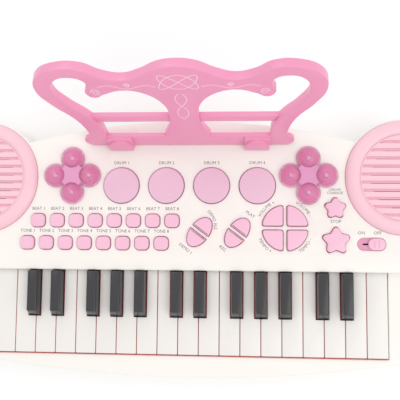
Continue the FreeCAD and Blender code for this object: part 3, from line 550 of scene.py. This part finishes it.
def louvred_disc():
    """The disc, drawn about the origin with its top at height 0."""
    bm = bmesh.new()
    bmesh.ops.create_circle(bm, cap_ends=True, radius=GROOVE_END_R * MM,
                            segments=RIM_SEGMENTS)
    made = bmesh.ops.extrude_edge_only(bm, edges=bm.edges[:])
    rim = [v for v in made["geom"] if isinstance(v, bmesh.types.BMVert)]
    bmesh.ops.scale(bm, vec=Vector((1, 1, 1)) * (FIELD_R - 0.1) / GROOVE_END_R, verts=rim)
    lows = [GROOVE_LOWEST - GROOVE_H / 2 + k * GROOVE_PITCH for k in range(GROOVE_COUNT)]
    for low in lows:
        for y in (low, low + GROOVE_H):
            cut_across(bm, bm.faces[:], (0, y * MM, 0), (0, 1, 0))
    for low in lows:
        floor = [f for f in bm.faces if in_band(f, low, low + GROOVE_H)]
        pulled(bm, floor, (0, 0, -GROOVE_DEEP))
        bmesh.ops.delete(bm, geom=floor, context="FACES_ONLY")
        half = math.sqrt(GROOVE_END_R ** 2 - max(abs(low), abs(low + GROOVE_H)) ** 2) - SLIT_INSET
        if half < 2:
            continue
        for point, normal in (((0, (low + SLIT_H) * MM, 0), (0, 1, 0)),
                              ((half * MM, 0, 0), (1, 0, 0)), ((-half * MM, 0, 0), (1, 0, 0))):
            sole = [f for f in bm.faces if in_band(f, low, low + GROOVE_H)
                    and f.calc_center_median().z < -0.9 * GROOVE_DEEP * MM]
            cut_across(bm, sole, point, normal)
        slit = [f for f in bm.faces if in_band(f, low, low + SLIT_H)
                and f.calc_center_median().z < -0.9 * GROOVE_DEEP * MM
                and abs(f.calc_center_median().x) < half * MM]
        bmesh.ops.delete(bm, geom=slit, context="FACES")
    bmesh.ops.recalc_face_normals(bm, faces=bm.faces)
    if max(bm.faces, key=lambda f: f.calc_area()).normal.z < 0:
        bmesh.ops.reverse_faces(bm, faces=bm.faces)
    bmesh.ops.solidify(bm, geom=bm.faces[:], thickness=SHEET_T * MM)
    return bm


def speaker_grille(side):
    centre = Vector((GRILLE_MID.x * side, GRILLE_MID.y, DECK_Z))
    bm = louvred_disc()
    top = max(v.co.z for v in bm.verts)
    bmesh.ops.translate(bm, vec=(centre + Vector((0, 0, FIELD_TOP))) * MM - Vector((0, 0, top)),
                        verts=bm.verts)
    lathe(bm, ring_profile(), centre, RIM_SEGMENTS)
    name = "speaker_grille_right" if side > 0 else "speaker_grille_left"
    return place_piece(bm, name, "casing", grille_abs, replaces="speaker_grilles")


def grille_shadow_lines():
    """Thin dark rose ring round the foot of each grille, a painted shadow line where the grille
    meets the deck.
    """
    bm = bmesh.new()
    for side in (-1, 1):
        lathe(bm, [(GRILLE_R - 1, 0), (GRILLE_R + SHADOW_LINE_OUT, 0),
                   (GRILLE_R + SHADOW_LINE_OUT, SHADOW_LINE_H), (GRILLE_R - 1, SHADOW_LINE_H)],
              (GRILLE_MID.x * side, GRILLE_MID.y, DECK_Z), RIM_SEGMENTS)
    return place_piece(bm, "grille_painted_shadow_lines", "casing", shadow_line_rose)


grille_shadow_lines()
grilles = [speaker_grille(side) for side in (-1, 1)]
print("grille faces:", [len(grille.data.polygons) for grille in grilles])

# %% [markdown]
# A flower lamp is one clear magenta moulding: four petals, each a flange with a dome on it, round
# a flat middle.  The petals are lathed shells, hollow as on the real lamp, over a pink floor that
# gives the clear plastic its colour.  The middle is a small plate whose four sides follow the
# petals' domes.


# %% Flower lamps
PETAL_R = 9.6
PETAL_OUT = size_of("flower_lenses").y / 2 - PETAL_R
FLOWER_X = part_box("flower_lenses")[1][0] / MM - PETAL_R - PETAL_OUT
FLOWER_Y = middle_of("flower_lenses").y
PETAL_BASE = 3.0
DOME_R = 7.3
DOME_RISE = 5.9
LENS_WALL = 1.3
LENS_FOOT = 1.6              # width of the ring that the hollow petal stands on
LED_R = 1.5
FLOOR_GAP = 0.6              # between an LED and the hole for it


def petal_profile():
    outer = [(PETAL_R, 0), (PETAL_R, 2.2), (PETAL_R - 0.3, 2.8), (PETAL_R - 0.9, PETAL_BASE)]
    inner = []
    for k in range(11):
        turn = math.pi / 2 * k / 10
        outer.append((DOME_R * math.cos(turn), PETAL_BASE + DOME_RISE * math.sin(turn)))
        inner.append(((DOME_R - LENS_WALL) * math.cos(turn),
                      PETAL_BASE - 1 + (DOME_RISE - 0.4) * math.sin(turn)))
    outer[-1] = (0, outer[-1][1])
    inner[-1] = (0, inner[-1][1])
    return outer + inner[::-1] + [(PETAL_R - LENS_FOOT, 1.4), (PETAL_R - LENS_FOOT, 0)]


def petal_centres(side):
    return [Vector((side * FLOWER_X + PETAL_OUT * math.cos(k * math.pi / 2),
                    FLOWER_Y + PETAL_OUT * math.sin(k * math.pi / 2), DECK_Z)) for k in range(4)]


def flower(side):
    bm = bmesh.new()
    for centre in petal_centres(side):
        lathe(bm, petal_profile(), centre, 48)
    return place_piece(bm, "flower_lens_" + ("right" if side > 0 else "left"), "casing",
                       lens_styrene, replaces="flower_lenses")


def cross_plate(bm, side, arc_radius, low, high):
    """Plate whose four hollow sides run round the petals' middles at a radius."""
    rim = []
    for k, centre in enumerate(petal_centres(side)):
        for j in range(9):
            turn = math.pi * (k / 2 + 1.25 - j / 16)
            arm = Vector((arc_radius * math.cos(turn), arc_radius * math.sin(turn), low))
            rim.append(bm.verts.new((centre + arm) * MM))
    pulled(bm, [bm.faces.new(rim)], (0, 0, high - low))
    bmesh.ops.recalc_face_normals(bm, faces=bm.faces)


def flower_middle(side):
    """A plate that laps over the petals' flanges, so only their domes stand clear of it."""
    bm = bmesh.new()
    cross_plate(bm, side, DOME_R + 0.3, PETAL_BASE + 0.02, PETAL_BASE + 0.6)
    return place_piece(bm, "flower_middle_" + ("right" if side > 0 else "left"), "casing",
                       middle_styrene)


def reflectors():
    """Pink floor inside each petal, with a hole for its LED."""
    bm = bmesh.new()
    for side in (-1, 1):
        for centre in petal_centres(side):
            hole, rim = LED_R + FLOOR_GAP, PETAL_R - LENS_FOOT - 0.1
            lathe(bm, [(hole, 0.05), (rim, 0.05), (rim, 0.5), (hole, 0.5)], centre, 40)
    return place_piece(bm, "flower_reflectors", "casing", reflector_styrene)


for side in (-1, 1):
    flower(side)
    flower_middle(side)
reflectors()
print("flower middles at +-%.1f, %.1f mm" % (FLOWER_X, FLOWER_Y))

# %% [markdown]
# Under each dome stands a small round-nosed LED, water-clear with a dark foot.  Its parts are again
# lathed.  They show through the dome as a bright spot with a dark rim, which is what tells the eye
# that the flower is hollow.  The foot's dark colour is partly the LED's own dark frame and partly
# painted shade round its base.


# %% LEDs
LED_H = 4.6
FOOT_R = LED_R + 0.5
FOOT_LOW, FOOT_TOP = -0.8, 0.7


def leds(name, profile, material):
    bm = bmesh.new()
    for side in (-1, 1):
        for centre in petal_centres(side):
            lathe(bm, profile, centre, 20)
    return place_piece(bm, name, "casing", material)


nose = [(LED_R * math.cos(t * math.pi / 12), LED_H - LED_R + LED_R * math.sin(t * math.pi / 12))
        for t in range(6)]
bodies = leds("led_bodies", [(0, FOOT_TOP), (LED_R, FOOT_TOP)] + nose + [(0, LED_H)], led_epoxy)
leds("led_feet", [(0, FOOT_LOW), (FOOT_R, FOOT_LOW), (FOOT_R, FOOT_TOP), (0, FOOT_TOP)],
     led_foot_dark_and_shade)
print("led faces:", len(bodies.data.polygons))

# %% [markdown]
# The power switch slides in a sunk pocket whose floor is a darker pink.  The floor is a thin
# lining with a slot for the knob's stem.  It is made from two rings of vertices, an outer stadium
# and an inner slot, bridged into one flat band and then given a thickness.


# %% Lining of the switch pocket
POCKET_L = 21.6
POCKET_W = 9.8
POCKET_DEEP = 1.4
TRAVEL = 8.0
STEM_L = 4.0
STEM_W = 0.8
LINING_T = 0.15


def stadium_ring(bm, x, y, z, length, width, corner_steps=12):
    """Closed ring of edges round a stadium, in mm."""
    verts = []
    radius = width / 2
    for centre, start in ((x + length / 2 - radius, -0.5), (x - length / 2 + radius, 0.5)):
        for k in range(corner_steps + 1):
            turn = math.pi * (start + k / corner_steps)
            verts.append(bm.verts.new(Vector((centre + radius * math.cos(turn),
                                              y + radius * math.sin(turn), z)) * MM))
    return [bm.edges.new(pair) for pair in zip(verts, verts[1:] + verts[:1])]


def pocket_lining():
    knob = middle_of("power_switch_knob")
    pocket_x = knob.x - TRAVEL / 2
    floor_z = DECK_Z - POCKET_DEEP + 0.01
    bm = bmesh.new()
    outer = stadium_ring(bm, pocket_x, knob.y, floor_z, POCKET_L, POCKET_W)
    inner = stadium_ring(bm, pocket_x, knob.y, floor_z, TRAVEL + STEM_L + 1.4, STEM_W + 0.5)
    bmesh.ops.bridge_loops(bm, edges=outer + inner)
    bmesh.ops.recalc_face_normals(bm, faces=bm.faces)
    if bm.faces[:][0].normal.z < 0:
        bmesh.ops.reverse_faces(bm, faces=bm.faces)
    pulled(bm, bm.faces[:], (0, 0, LINING_T))
    bmesh.ops.recalc_face_normals(bm, faces=bm.faces)
    return place_piece(bm, "switch_pocket_lining", "casing", pocket_abs)


lining = pocket_lining()
print("lining faces:", len(lining.data.polygons))

# %% [markdown]
# The switch's knob is a small stadium with two low ridges for a fingertip and a thin stem that
# goes down through the slot.  The stadium is a ring of edges, filled, pulled up and bevelled.
# The ridges are small rounded blocks and the stem is a plain one.


# %% Switch knob
KNOB_L = 13.0
RIDGE_X = 1.9
RIDGE_W = 0.9
RIDGE_H = 0.5
RIDGE_HALF = 3.2


def rounded_box(bm, x, y, z, radius, segments=3):
    """Box between pairs of coordinates in mm, with every edge rounded; returns its corners."""
    made = blade(bm, *x, *y, *z)
    edges = list(dict.fromkeys(e for v in made for e in v.link_edges))
    done = bmesh.ops.bevel(bm, geom=edges, offset=radius * MM, offset_type="OFFSET",
                           segments=segments, profile=0.5, affect="EDGES", clamp_overlap=True,
                           material=-1)
    return done["verts"]


def switch_knob():
    low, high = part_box("power_switch_knob")
    middle = middle_of("power_switch_knob")
    top = high[2] / MM - RIDGE_H
    bottom = DECK_Z - POCKET_DEEP + LINING_T + 0.1
    bm = bmesh.new()
    ring = stadium_ring(bm, middle.x, middle.y, bottom, KNOB_L, size_of("power_switch_knob").y)
    face = bmesh.ops.contextual_create(bm, geom=ring)["faces"]
    pulled(bm, face, (0, 0, top - bottom))
    bmesh.ops.recalc_face_normals(bm, faces=bm.faces)
    bevel(bm, sharp_edges(bm, lambda m, e: m.z > (top - 0.1) * MM), 0.6, 4)
    for x in (middle.x - RIDGE_X, middle.x + RIDGE_X):
        rounded_box(bm, (x - RIDGE_W / 2, x + RIDGE_W / 2),
                    (middle.y - RIDGE_HALF, middle.y + RIDGE_HALF),
                    (top - 0.4, top + RIDGE_H), 0.3)
    blade(bm, middle.x - STEM_L / 2, middle.x + STEM_L / 2, middle.y - STEM_W / 2,
          middle.y + STEM_W / 2, low[2] / MM, bottom + 0.5)
    return place_piece(bm, "power_switch_knob_moulding", "power_switch_knob", pink_cap_abs,
                       replaces="power_switch_knob")


print("knob faces:", len(switch_knob().data.polygons))

# %% [markdown]
# The music stand is an upright board with two scrolled arms, a crowned middle and two windows.
# Its outline is drawn as a flat curve, because a curve can round its own edges evenly all the way
# round, even in the tight hooks where a mesh bevel tears.  The curve becomes a mesh first and is
# then leant back with a matrix.  The board's lean comes from the stand's sliding joint.


# %% The stand's own directions
lift = next(joint for joint in frame["record"]["behaviour"]["joints"]
            if joint["name"] == "music_stand_lift")
STAND_UP = Vector(lift["axis"])
STAND_FRONT = Vector((1, 0, 0)).cross(STAND_UP)
HOOD_OUT = 4.8
stand_foot = Vector((0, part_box("music_stand")[0][1] / MM - HOOD_OUT * STAND_FRONT.y, DECK_Z))
STAND_PLACE = Matrix.Translation(stand_foot * MM) @ Matrix(
    ((1, STAND_UP.x, STAND_FRONT.x), (0, STAND_UP.y, STAND_FRONT.y),
     (0, STAND_UP.z, STAND_FRONT.z))).to_4x4()
print("stand leans %.1f degrees" % math.degrees(math.atan2(STAND_UP.y, STAND_UP.z)))

# %% [markdown]
# A curve is easy to draw with, but the joins need a mesh.  The helper evaluates the curve once,
# keeps the mesh and throws the curve away.  A second helper draws a closed Bezier spline, with
# smooth handles everywhere except at the corners it's told of.


# %% Curves that become meshes
def curve_mesh(curve):
    """The mesh of a curve, which is then thrown away."""
    holder = bpy.data.objects.new(curve.name, curve)
    bpy.context.scene.collection.objects.link(holder)
    bpy.context.view_layer.update()
    mesh = bpy.data.meshes.new_from_object(holder.evaluated_get(
        bpy.context.evaluated_depsgraph_get()))
    bpy.data.objects.remove(holder)
    bpy.data.curves.remove(curve)
    return mesh


def bezier(curve, points, corners=()):
    """Closed smooth spline through points in mm; points in corners stay sharp."""
    spline = curve.splines.new("BEZIER")
    spline.bezier_points.add(len(points) - 1)
    spline.use_cyclic_u = True
    for knot, (x, y) in zip(spline.bezier_points, points):
        knot.co = (x * MM, y * MM, 0)
        kind = "VECTOR" if (x, y) in corners else "AUTO"
        knot.handle_left_type = knot.handle_right_type = kind

# %% [markdown]
# The stand is moulded in one piece.  Its board carries a base bar, a cross rail that holds the
# music, two hoods where it stands on the deck, and two tongues that slide into the casing.  The
# board is the bevelled curve, and everything else is a rounded block, so no thin mesh bevel has
# to follow the scrolls.  Joining them before the lean keeps all sizes in the board's directions.


# %% Music stand
STAND_T = 6.9
STAND_EDGE = 0.8
BAR_H = 15.0
BAR_HALF = 82.0
BAR_T = 3.8
FLUSH = 0.03                 # a face this much inside the board's face doesn't flicker against it
RAIL = ((-71.0, 71.0), (34.2, 43.8), (2.5, STAND_T - FLUSH))     # across, up, behind the face
HOOD_X = 53.4
HOOD_W = 19.4
HOOD_H = 14.5
HOOD_BACK = 2.4
LIP_R = 9.5
LIP_SUNK = 1.0               # how far the lip reaches into the board
TONGUE = (18.0, 14.0, 0.2, 3.4)                       # width, length, front and back
OUTLINE = [(76, 0), (76, 24), (81, 45), (91.5, 65), (97.3, 84), (92.5, 101), (77, 110.4),
           (61, 109.6), (49.5, 100.8), (37, 97), (25, 101.8), (12, 110.6), (0, 113)]
WINDOW = [(63, 0), (63, 15), (64, 30), (70, 47), (80, 64), (86, 83), (81, 97), (71, 100.8),
          (62, 96), (61.8, 87.8), (64, 81.2), (59, 75.2), (51, 79.6), (38, 84.4), (24, 79.8),
          (13, 65), (10.6, 47), (12.4, 31), (17.5, 15), (17.5, 0)]


def mirrored(points):
    return [(-x, y) for x, y in reversed(points) if x != 0]


def stand_board(bm):
    """Board: one outline that runs up each arm, over the crown and round both windows."""
    curve = bpy.data.curves.new("stand_board", "CURVE")
    curve.dimensions = "2D"
    curve.fill_mode = "BOTH"
    curve.resolution_u = 10
    curve.bevel_depth = STAND_EDGE * MM
    curve.bevel_resolution = 3
    curve.offset = -STAND_EDGE * MM
    curve.extrude = (STAND_T / 2 - STAND_EDGE) * MM
    left_window = [(-x, y) for x, y in WINDOW]
    rim = OUTLINE + mirrored(OUTLINE) + left_window + WINDOW[::-1]
    corners = {point for point in rim if point[1] in (0, BAR_H)}
    bezier(curve, rim, corners)
    mesh = curve_mesh(curve)
    mesh.transform(STAND_PLACE @ Matrix.Translation((0, 0, -STAND_T / 2 * MM)))
    bm.from_mesh(mesh)
    bpy.data.meshes.remove(mesh)
    bmesh.ops.remove_doubles(bm, verts=bm.verts, dist=0.002 * MM)


def rounded_block(bm, across, up, behind, radius):
    """Rounded box in the board's own directions, behind being measured back from its face."""
    return rounded_box(bm, across, up, (-behind[1], -behind[0]), radius, 4)


def base_bar(bm):
    """Bar with round ends along the foot of the board."""
    ring = stadium_ring(bm, 0, BAR_H / 2, -FLUSH, 2 * BAR_HALF, BAR_H)
    face = bmesh.ops.contextual_create(bm, geom=ring)["faces"]
    pulled(bm, face, (0, 0, FLUSH - BAR_T))


def hood_lip(bm, x):
    """Arched lip on the hood: half a drum lying against the block."""
    spring = HOOD_H - LIP_R - 0.5
    verts = [bm.verts.new(Vector((x - LIP_R, 0, -LIP_SUNK)) * MM)]
    for k in range(25):
        turn = math.pi * (1 - k / 24)
        verts.append(bm.verts.new(Vector((x + LIP_R * math.cos(turn),
                                          spring + LIP_R * math.sin(turn), -LIP_SUNK)) * MM))
    verts.append(bm.verts.new(Vector((x + LIP_R, 0, -LIP_SUNK)) * MM))
    pulled(bm, [bm.faces.new(verts)], (0, 0, HOOD_OUT + LIP_SUNK))


def stand_fittings():
    """Bar, rail and hoods, drawn in the board's directions and then leant back."""
    bm = bmesh.new()
    base_bar(bm)
    for x in (-HOOD_X, HOOD_X):
        hood_lip(bm, x)
    bmesh.ops.recalc_face_normals(bm, faces=bm.faces)
    bevel(bm, sharp_edges(bm), 0.6, 3)
    rounded_block(bm, *RAIL, 1.9)
    for x in (-HOOD_X, HOOD_X):
        rounded_block(bm, (x - HOOD_W / 2, x + HOOD_W / 2), (0, HOOD_H), (-HOOD_BACK, 1), 0.7)
    bmesh.ops.transform(bm, matrix=STAND_PLACE, verts=bm.verts)
    return bm


def above_deck(bm):
    """Cuts off what the lean would push into the deck, and closes the cut."""
    cut = bmesh.ops.bisect_plane(bm, geom=bm.verts[:] + bm.edges[:] + bm.faces[:], dist=1e-7,
                                 plane_co=(0, 0, (DECK_Z + 0.3) * MM), plane_no=(0, 0, 1),
                                 clear_inner=True)
    rim = [e for e in cut["geom_cut"] if isinstance(e, bmesh.types.BMEdge)]
    bmesh.ops.edgenet_fill(bm, edges=rim)


def music_stand():
    bm = bmesh.new()
    stand_board(bm)
    join(bm, stand_fittings())
    above_deck(bm)
    width, length, front, back = TONGUE
    for x in (-HOOD_X, HOOD_X):
        made = rounded_block(bm, (x - width / 2, x + width / 2), (-length, BAR_H / 2),
                             (front, back), 0.4)
        bmesh.ops.transform(bm, matrix=STAND_PLACE, verts=list(dict.fromkeys(made)))
    bmesh.ops.recalc_face_normals(bm, faces=bm.faces)
    return place_piece(bm, "music_stand_board", "music_stand", stand_abs,
                       replaces="music_stand")


stand = music_stand()
print("stand faces:", len(stand.data.polygons))

# %% [markdown]
# A pale flourish is printed on the board: a knot in the crown, a wave with a curl along each arm,
# and a twist down the post.  It is plain ornament made from sines and spirals.  Each line is a
# curve with a thin round bevel, flattened until it stands 0.05 mm proud, as printed ink does.


# %% Flourish
INK_W = 0.7
INK_H = 0.06
KNOT = (13.0, 8.5, 94.5)               # half width, half height, height up the board
WAVE_FROM, WAVE_TO, WAVE_S = 15.0, 54.0, 89.0
CURL_R = 3.2
TWIST_W, TWIST_LOW, TWIST_HIGH = 4.0, 44.0, 80.0


def flourish_lines():
    """Point lists (across, up) in mm."""
    knot = [(KNOT[0] * math.sin(2 * t), KNOT[2] + KNOT[1] * math.sin(3 * t + math.pi / 2))
            for t in (math.tau * k / 96 for k in range(97))]
    lines = [knot]
    for side in (-1, 1):
        wave = []
        for k in range(49):
            x = WAVE_FROM + (WAVE_TO - WAVE_FROM) * k / 48
            wave.append((side * x, WAVE_S + 2.0 * math.sin(math.tau * (x - WAVE_FROM) / 26)))
        lines.append(wave)
        for x, s, radius in ((56.5, 82.5, CURL_R), (34, WAVE_S + 2.2, 2.0)):
            curl = []
            for k in range(41):
                turn = math.pi * 3.2 * k / 40
                reach = radius * (1 - 0.8 * k / 40)
                curl.append((side * (x + reach * math.cos(turn)), s + 1.4 * reach * math.sin(turn)))
            lines.append(curl)
        strand = []
        for k in range(49):
            s = TWIST_LOW + (TWIST_HIGH - TWIST_LOW) * k / 48
            swing = math.sin(math.pi * (s - TWIST_LOW) / 19)
            strand.append((side * TWIST_W * swing, s))
        lines.append(strand)
    return lines


def flourish():
    curve = bpy.data.curves.new("flourish", "CURVE")
    curve.dimensions = "3D"
    curve.bevel_depth = INK_W / 2 * MM
    curve.bevel_resolution = 1
    curve.use_fill_caps = True
    for line in flourish_lines():
        spline = curve.splines.new("POLY")
        spline.points.add(len(line) - 1)
        for knot, (x, s) in zip(spline.points, line):
            knot.co = (x * MM, s * MM, 0, 1)
    mesh = curve_mesh(curve)
    flatten = Matrix.Diagonal((1, 1, INK_H * 2 / INK_W, 1))
    mesh.transform(STAND_PLACE @ Matrix.Translation((0, 0, -0.01 * MM)) @ flatten)
    bm = bmesh.new()
    bm.from_mesh(mesh)
    bpy.data.meshes.remove(mesh)
    bmesh.ops.remove_doubles(bm, verts=bm.verts, dist=0.002 * MM)
    bmesh.ops.recalc_face_normals(bm, faces=bm.faces)
    return place_piece(bm, "stand_flourish", "music_stand", flourish_ink)


print("flourish faces:", len(flourish().data.polygons))

# %% [markdown]
# The words on the deck are pad printed in thin grey ink.  Blender's text object gives the
# letters; it is made a mesh, moved by a function that can also bend it round a button, and all
# words are joined into one piece.  The words are plain function names and numbers.


# %% Legends
LETTER_H = 2.4               # height of a capital
CAP_SHARE = 0.69             # of the font's size
PRINT_T = 0.02
ROW_PITCH = 15.3             # between the caps of a row
ROW_COUNT = 8
CAP_WORD_UP = 9.4            # from a cap's middle to its word
PAD_WORD_UP = 18.0
SWITCH_WORD_UP = 8.6


def letters(words, height):
    """Mesh of a line of text about the origin, with capitals of a given height in mm."""
    curve = bpy.data.curves.new("words", "FONT")
    curve.body = words
    curve.size = height / CAP_SHARE * MM
    curve.align_x = "CENTER"
    curve.align_y = "CENTER"
    curve.extrude = PRINT_T / 2 * MM
    curve.resolution_u = 2
    return curve_mesh(curve)


def straight(x, y, turn=0.0):
    """Places a word about a point, turned by some degrees."""
    spin = Matrix.Rotation(math.radians(turn), 2)

    def place(u, v):
        across, up = spin @ Vector((u, v))
        return x + across, y + up
    return place


def curved(x, y, radius, middle, tops_out=True):
    """Bends a word round a centre; middle is the word's own angle in degrees."""
    way = 1 if tops_out else -1

    def place(u, v):
        turn = math.radians(middle) - way * u / radius
        reach = radius + way * v
        return x + reach * math.cos(turn), y + reach * math.sin(turn)
    return place


def print_word(bm, words, place, height=LETTER_H):
    mesh = letters(words, height)
    for vert in mesh.vertices:
        x, y = place(vert.co.x / MM, vert.co.y / MM)
        vert.co = Vector((x, y, DECK_Z + 0.015 + vert.co.z / MM)) * MM
    bm.from_mesh(mesh)
    bpy.data.meshes.remove(mesh)


def row_places(node):
    """Middles of the caps of a row."""
    middle = middle_of(node)
    return [Vector((middle.x + (k - (ROW_COUNT - 1) / 2) * ROW_PITCH, middle.y))
            for k in range(ROW_COUNT)]


def legends():
    bm = bmesh.new()
    for words, node in (("BEAT", "rhythm_buttons"), ("TONE", "tone_buttons")):
        for k, cap in enumerate(row_places(node)):
            print_word(bm, "%s %d" % (words, k + 1), straight(cap.x, cap.y + CAP_WORD_UP))
    for k in range(1, 5):
        pad = middle_of("drum_pad_%d" % k)
        print_word(bm, "DRUM %d" % k, straight(pad.x, pad.y + PAD_WORD_UP))
    change, stop = middle_of("drum_change_button"), middle_of("stop_button")
    print_word(bm, "DRUM", straight(change.x, change.y + 13.6), 2.1)
    print_word(bm, "CHANGE", straight(change.x, change.y + 11.1), 2.1)
    print_word(bm, "STOP", straight(stop.x, stop.y + 13.9))
    knob = middle_of("power_switch_knob")
    print_word(bm, "ON", straight(knob.x - 11.7, knob.y + SWITCH_WORD_UP))
    print_word(bm, "OFF", straight(knob.x + 0.6, knob.y + SWITCH_WORD_UP))
    ring = middle_of("volume_up_button", "tempo_down_button")
    print_word(bm, "VOLUME +", curved(ring.x, ring.y, 21.6, 134))
    print_word(bm, "VOLUME -", curved(ring.x, ring.y, 21.6, 46))
    print_word(bm, "TEMPO +", curved(ring.x, ring.y, 21.2, 221, False))
    print_word(bm, "TEMPO -", curved(ring.x, ring.y, 21.2, 319, False))
    demo = middle_of("demo_one_button", "demo_all_button")
    tape = middle_of("record_button", "play_button")
    print_word(bm, "DEMO ALL", curved(demo.x - 4.7, demo.y + 3.4, 17.3, 22))
    print_word(bm, "DEMO 1", straight(demo.x - 10.8, demo.y - 13.0, -38))
    print_word(bm, "PLAY", straight(tape.x + 10.1, tape.y + 14.4, -33))
    print_word(bm, "REC", straight(tape.x - 11.3, tape.y - 12.3, -38))
    bmesh.ops.remove_doubles(bm, verts=bm.verts, dist=0.001 * MM)
    return place_piece(bm, "deck_legends", "casing", legend_ink)


print("legend faces:", len(legends().data.polygons))

# %% [markdown]
# Inside are the speakers, boards, rubber contact strip, pivot rod, batteries and screws.  Little
# of them shows, so they keep their CAD shape, and each gets the finish of its real material.


# %% Hidden pieces keep their CAD shape
for node, material in (("speaker_drivers", dark_paper), ("circuit_boards", board_mask),
                       ("contact_strip", strip_silicone), ("key_pivot_rod", steel),
                       ("batteries", cell_sleeve), ("casing_screws", steel)):
    mesh = frame["nodes"][node].data
    mesh.materials.clear()
    mesh.materials.append(material)
    print(node, "is", material.name)
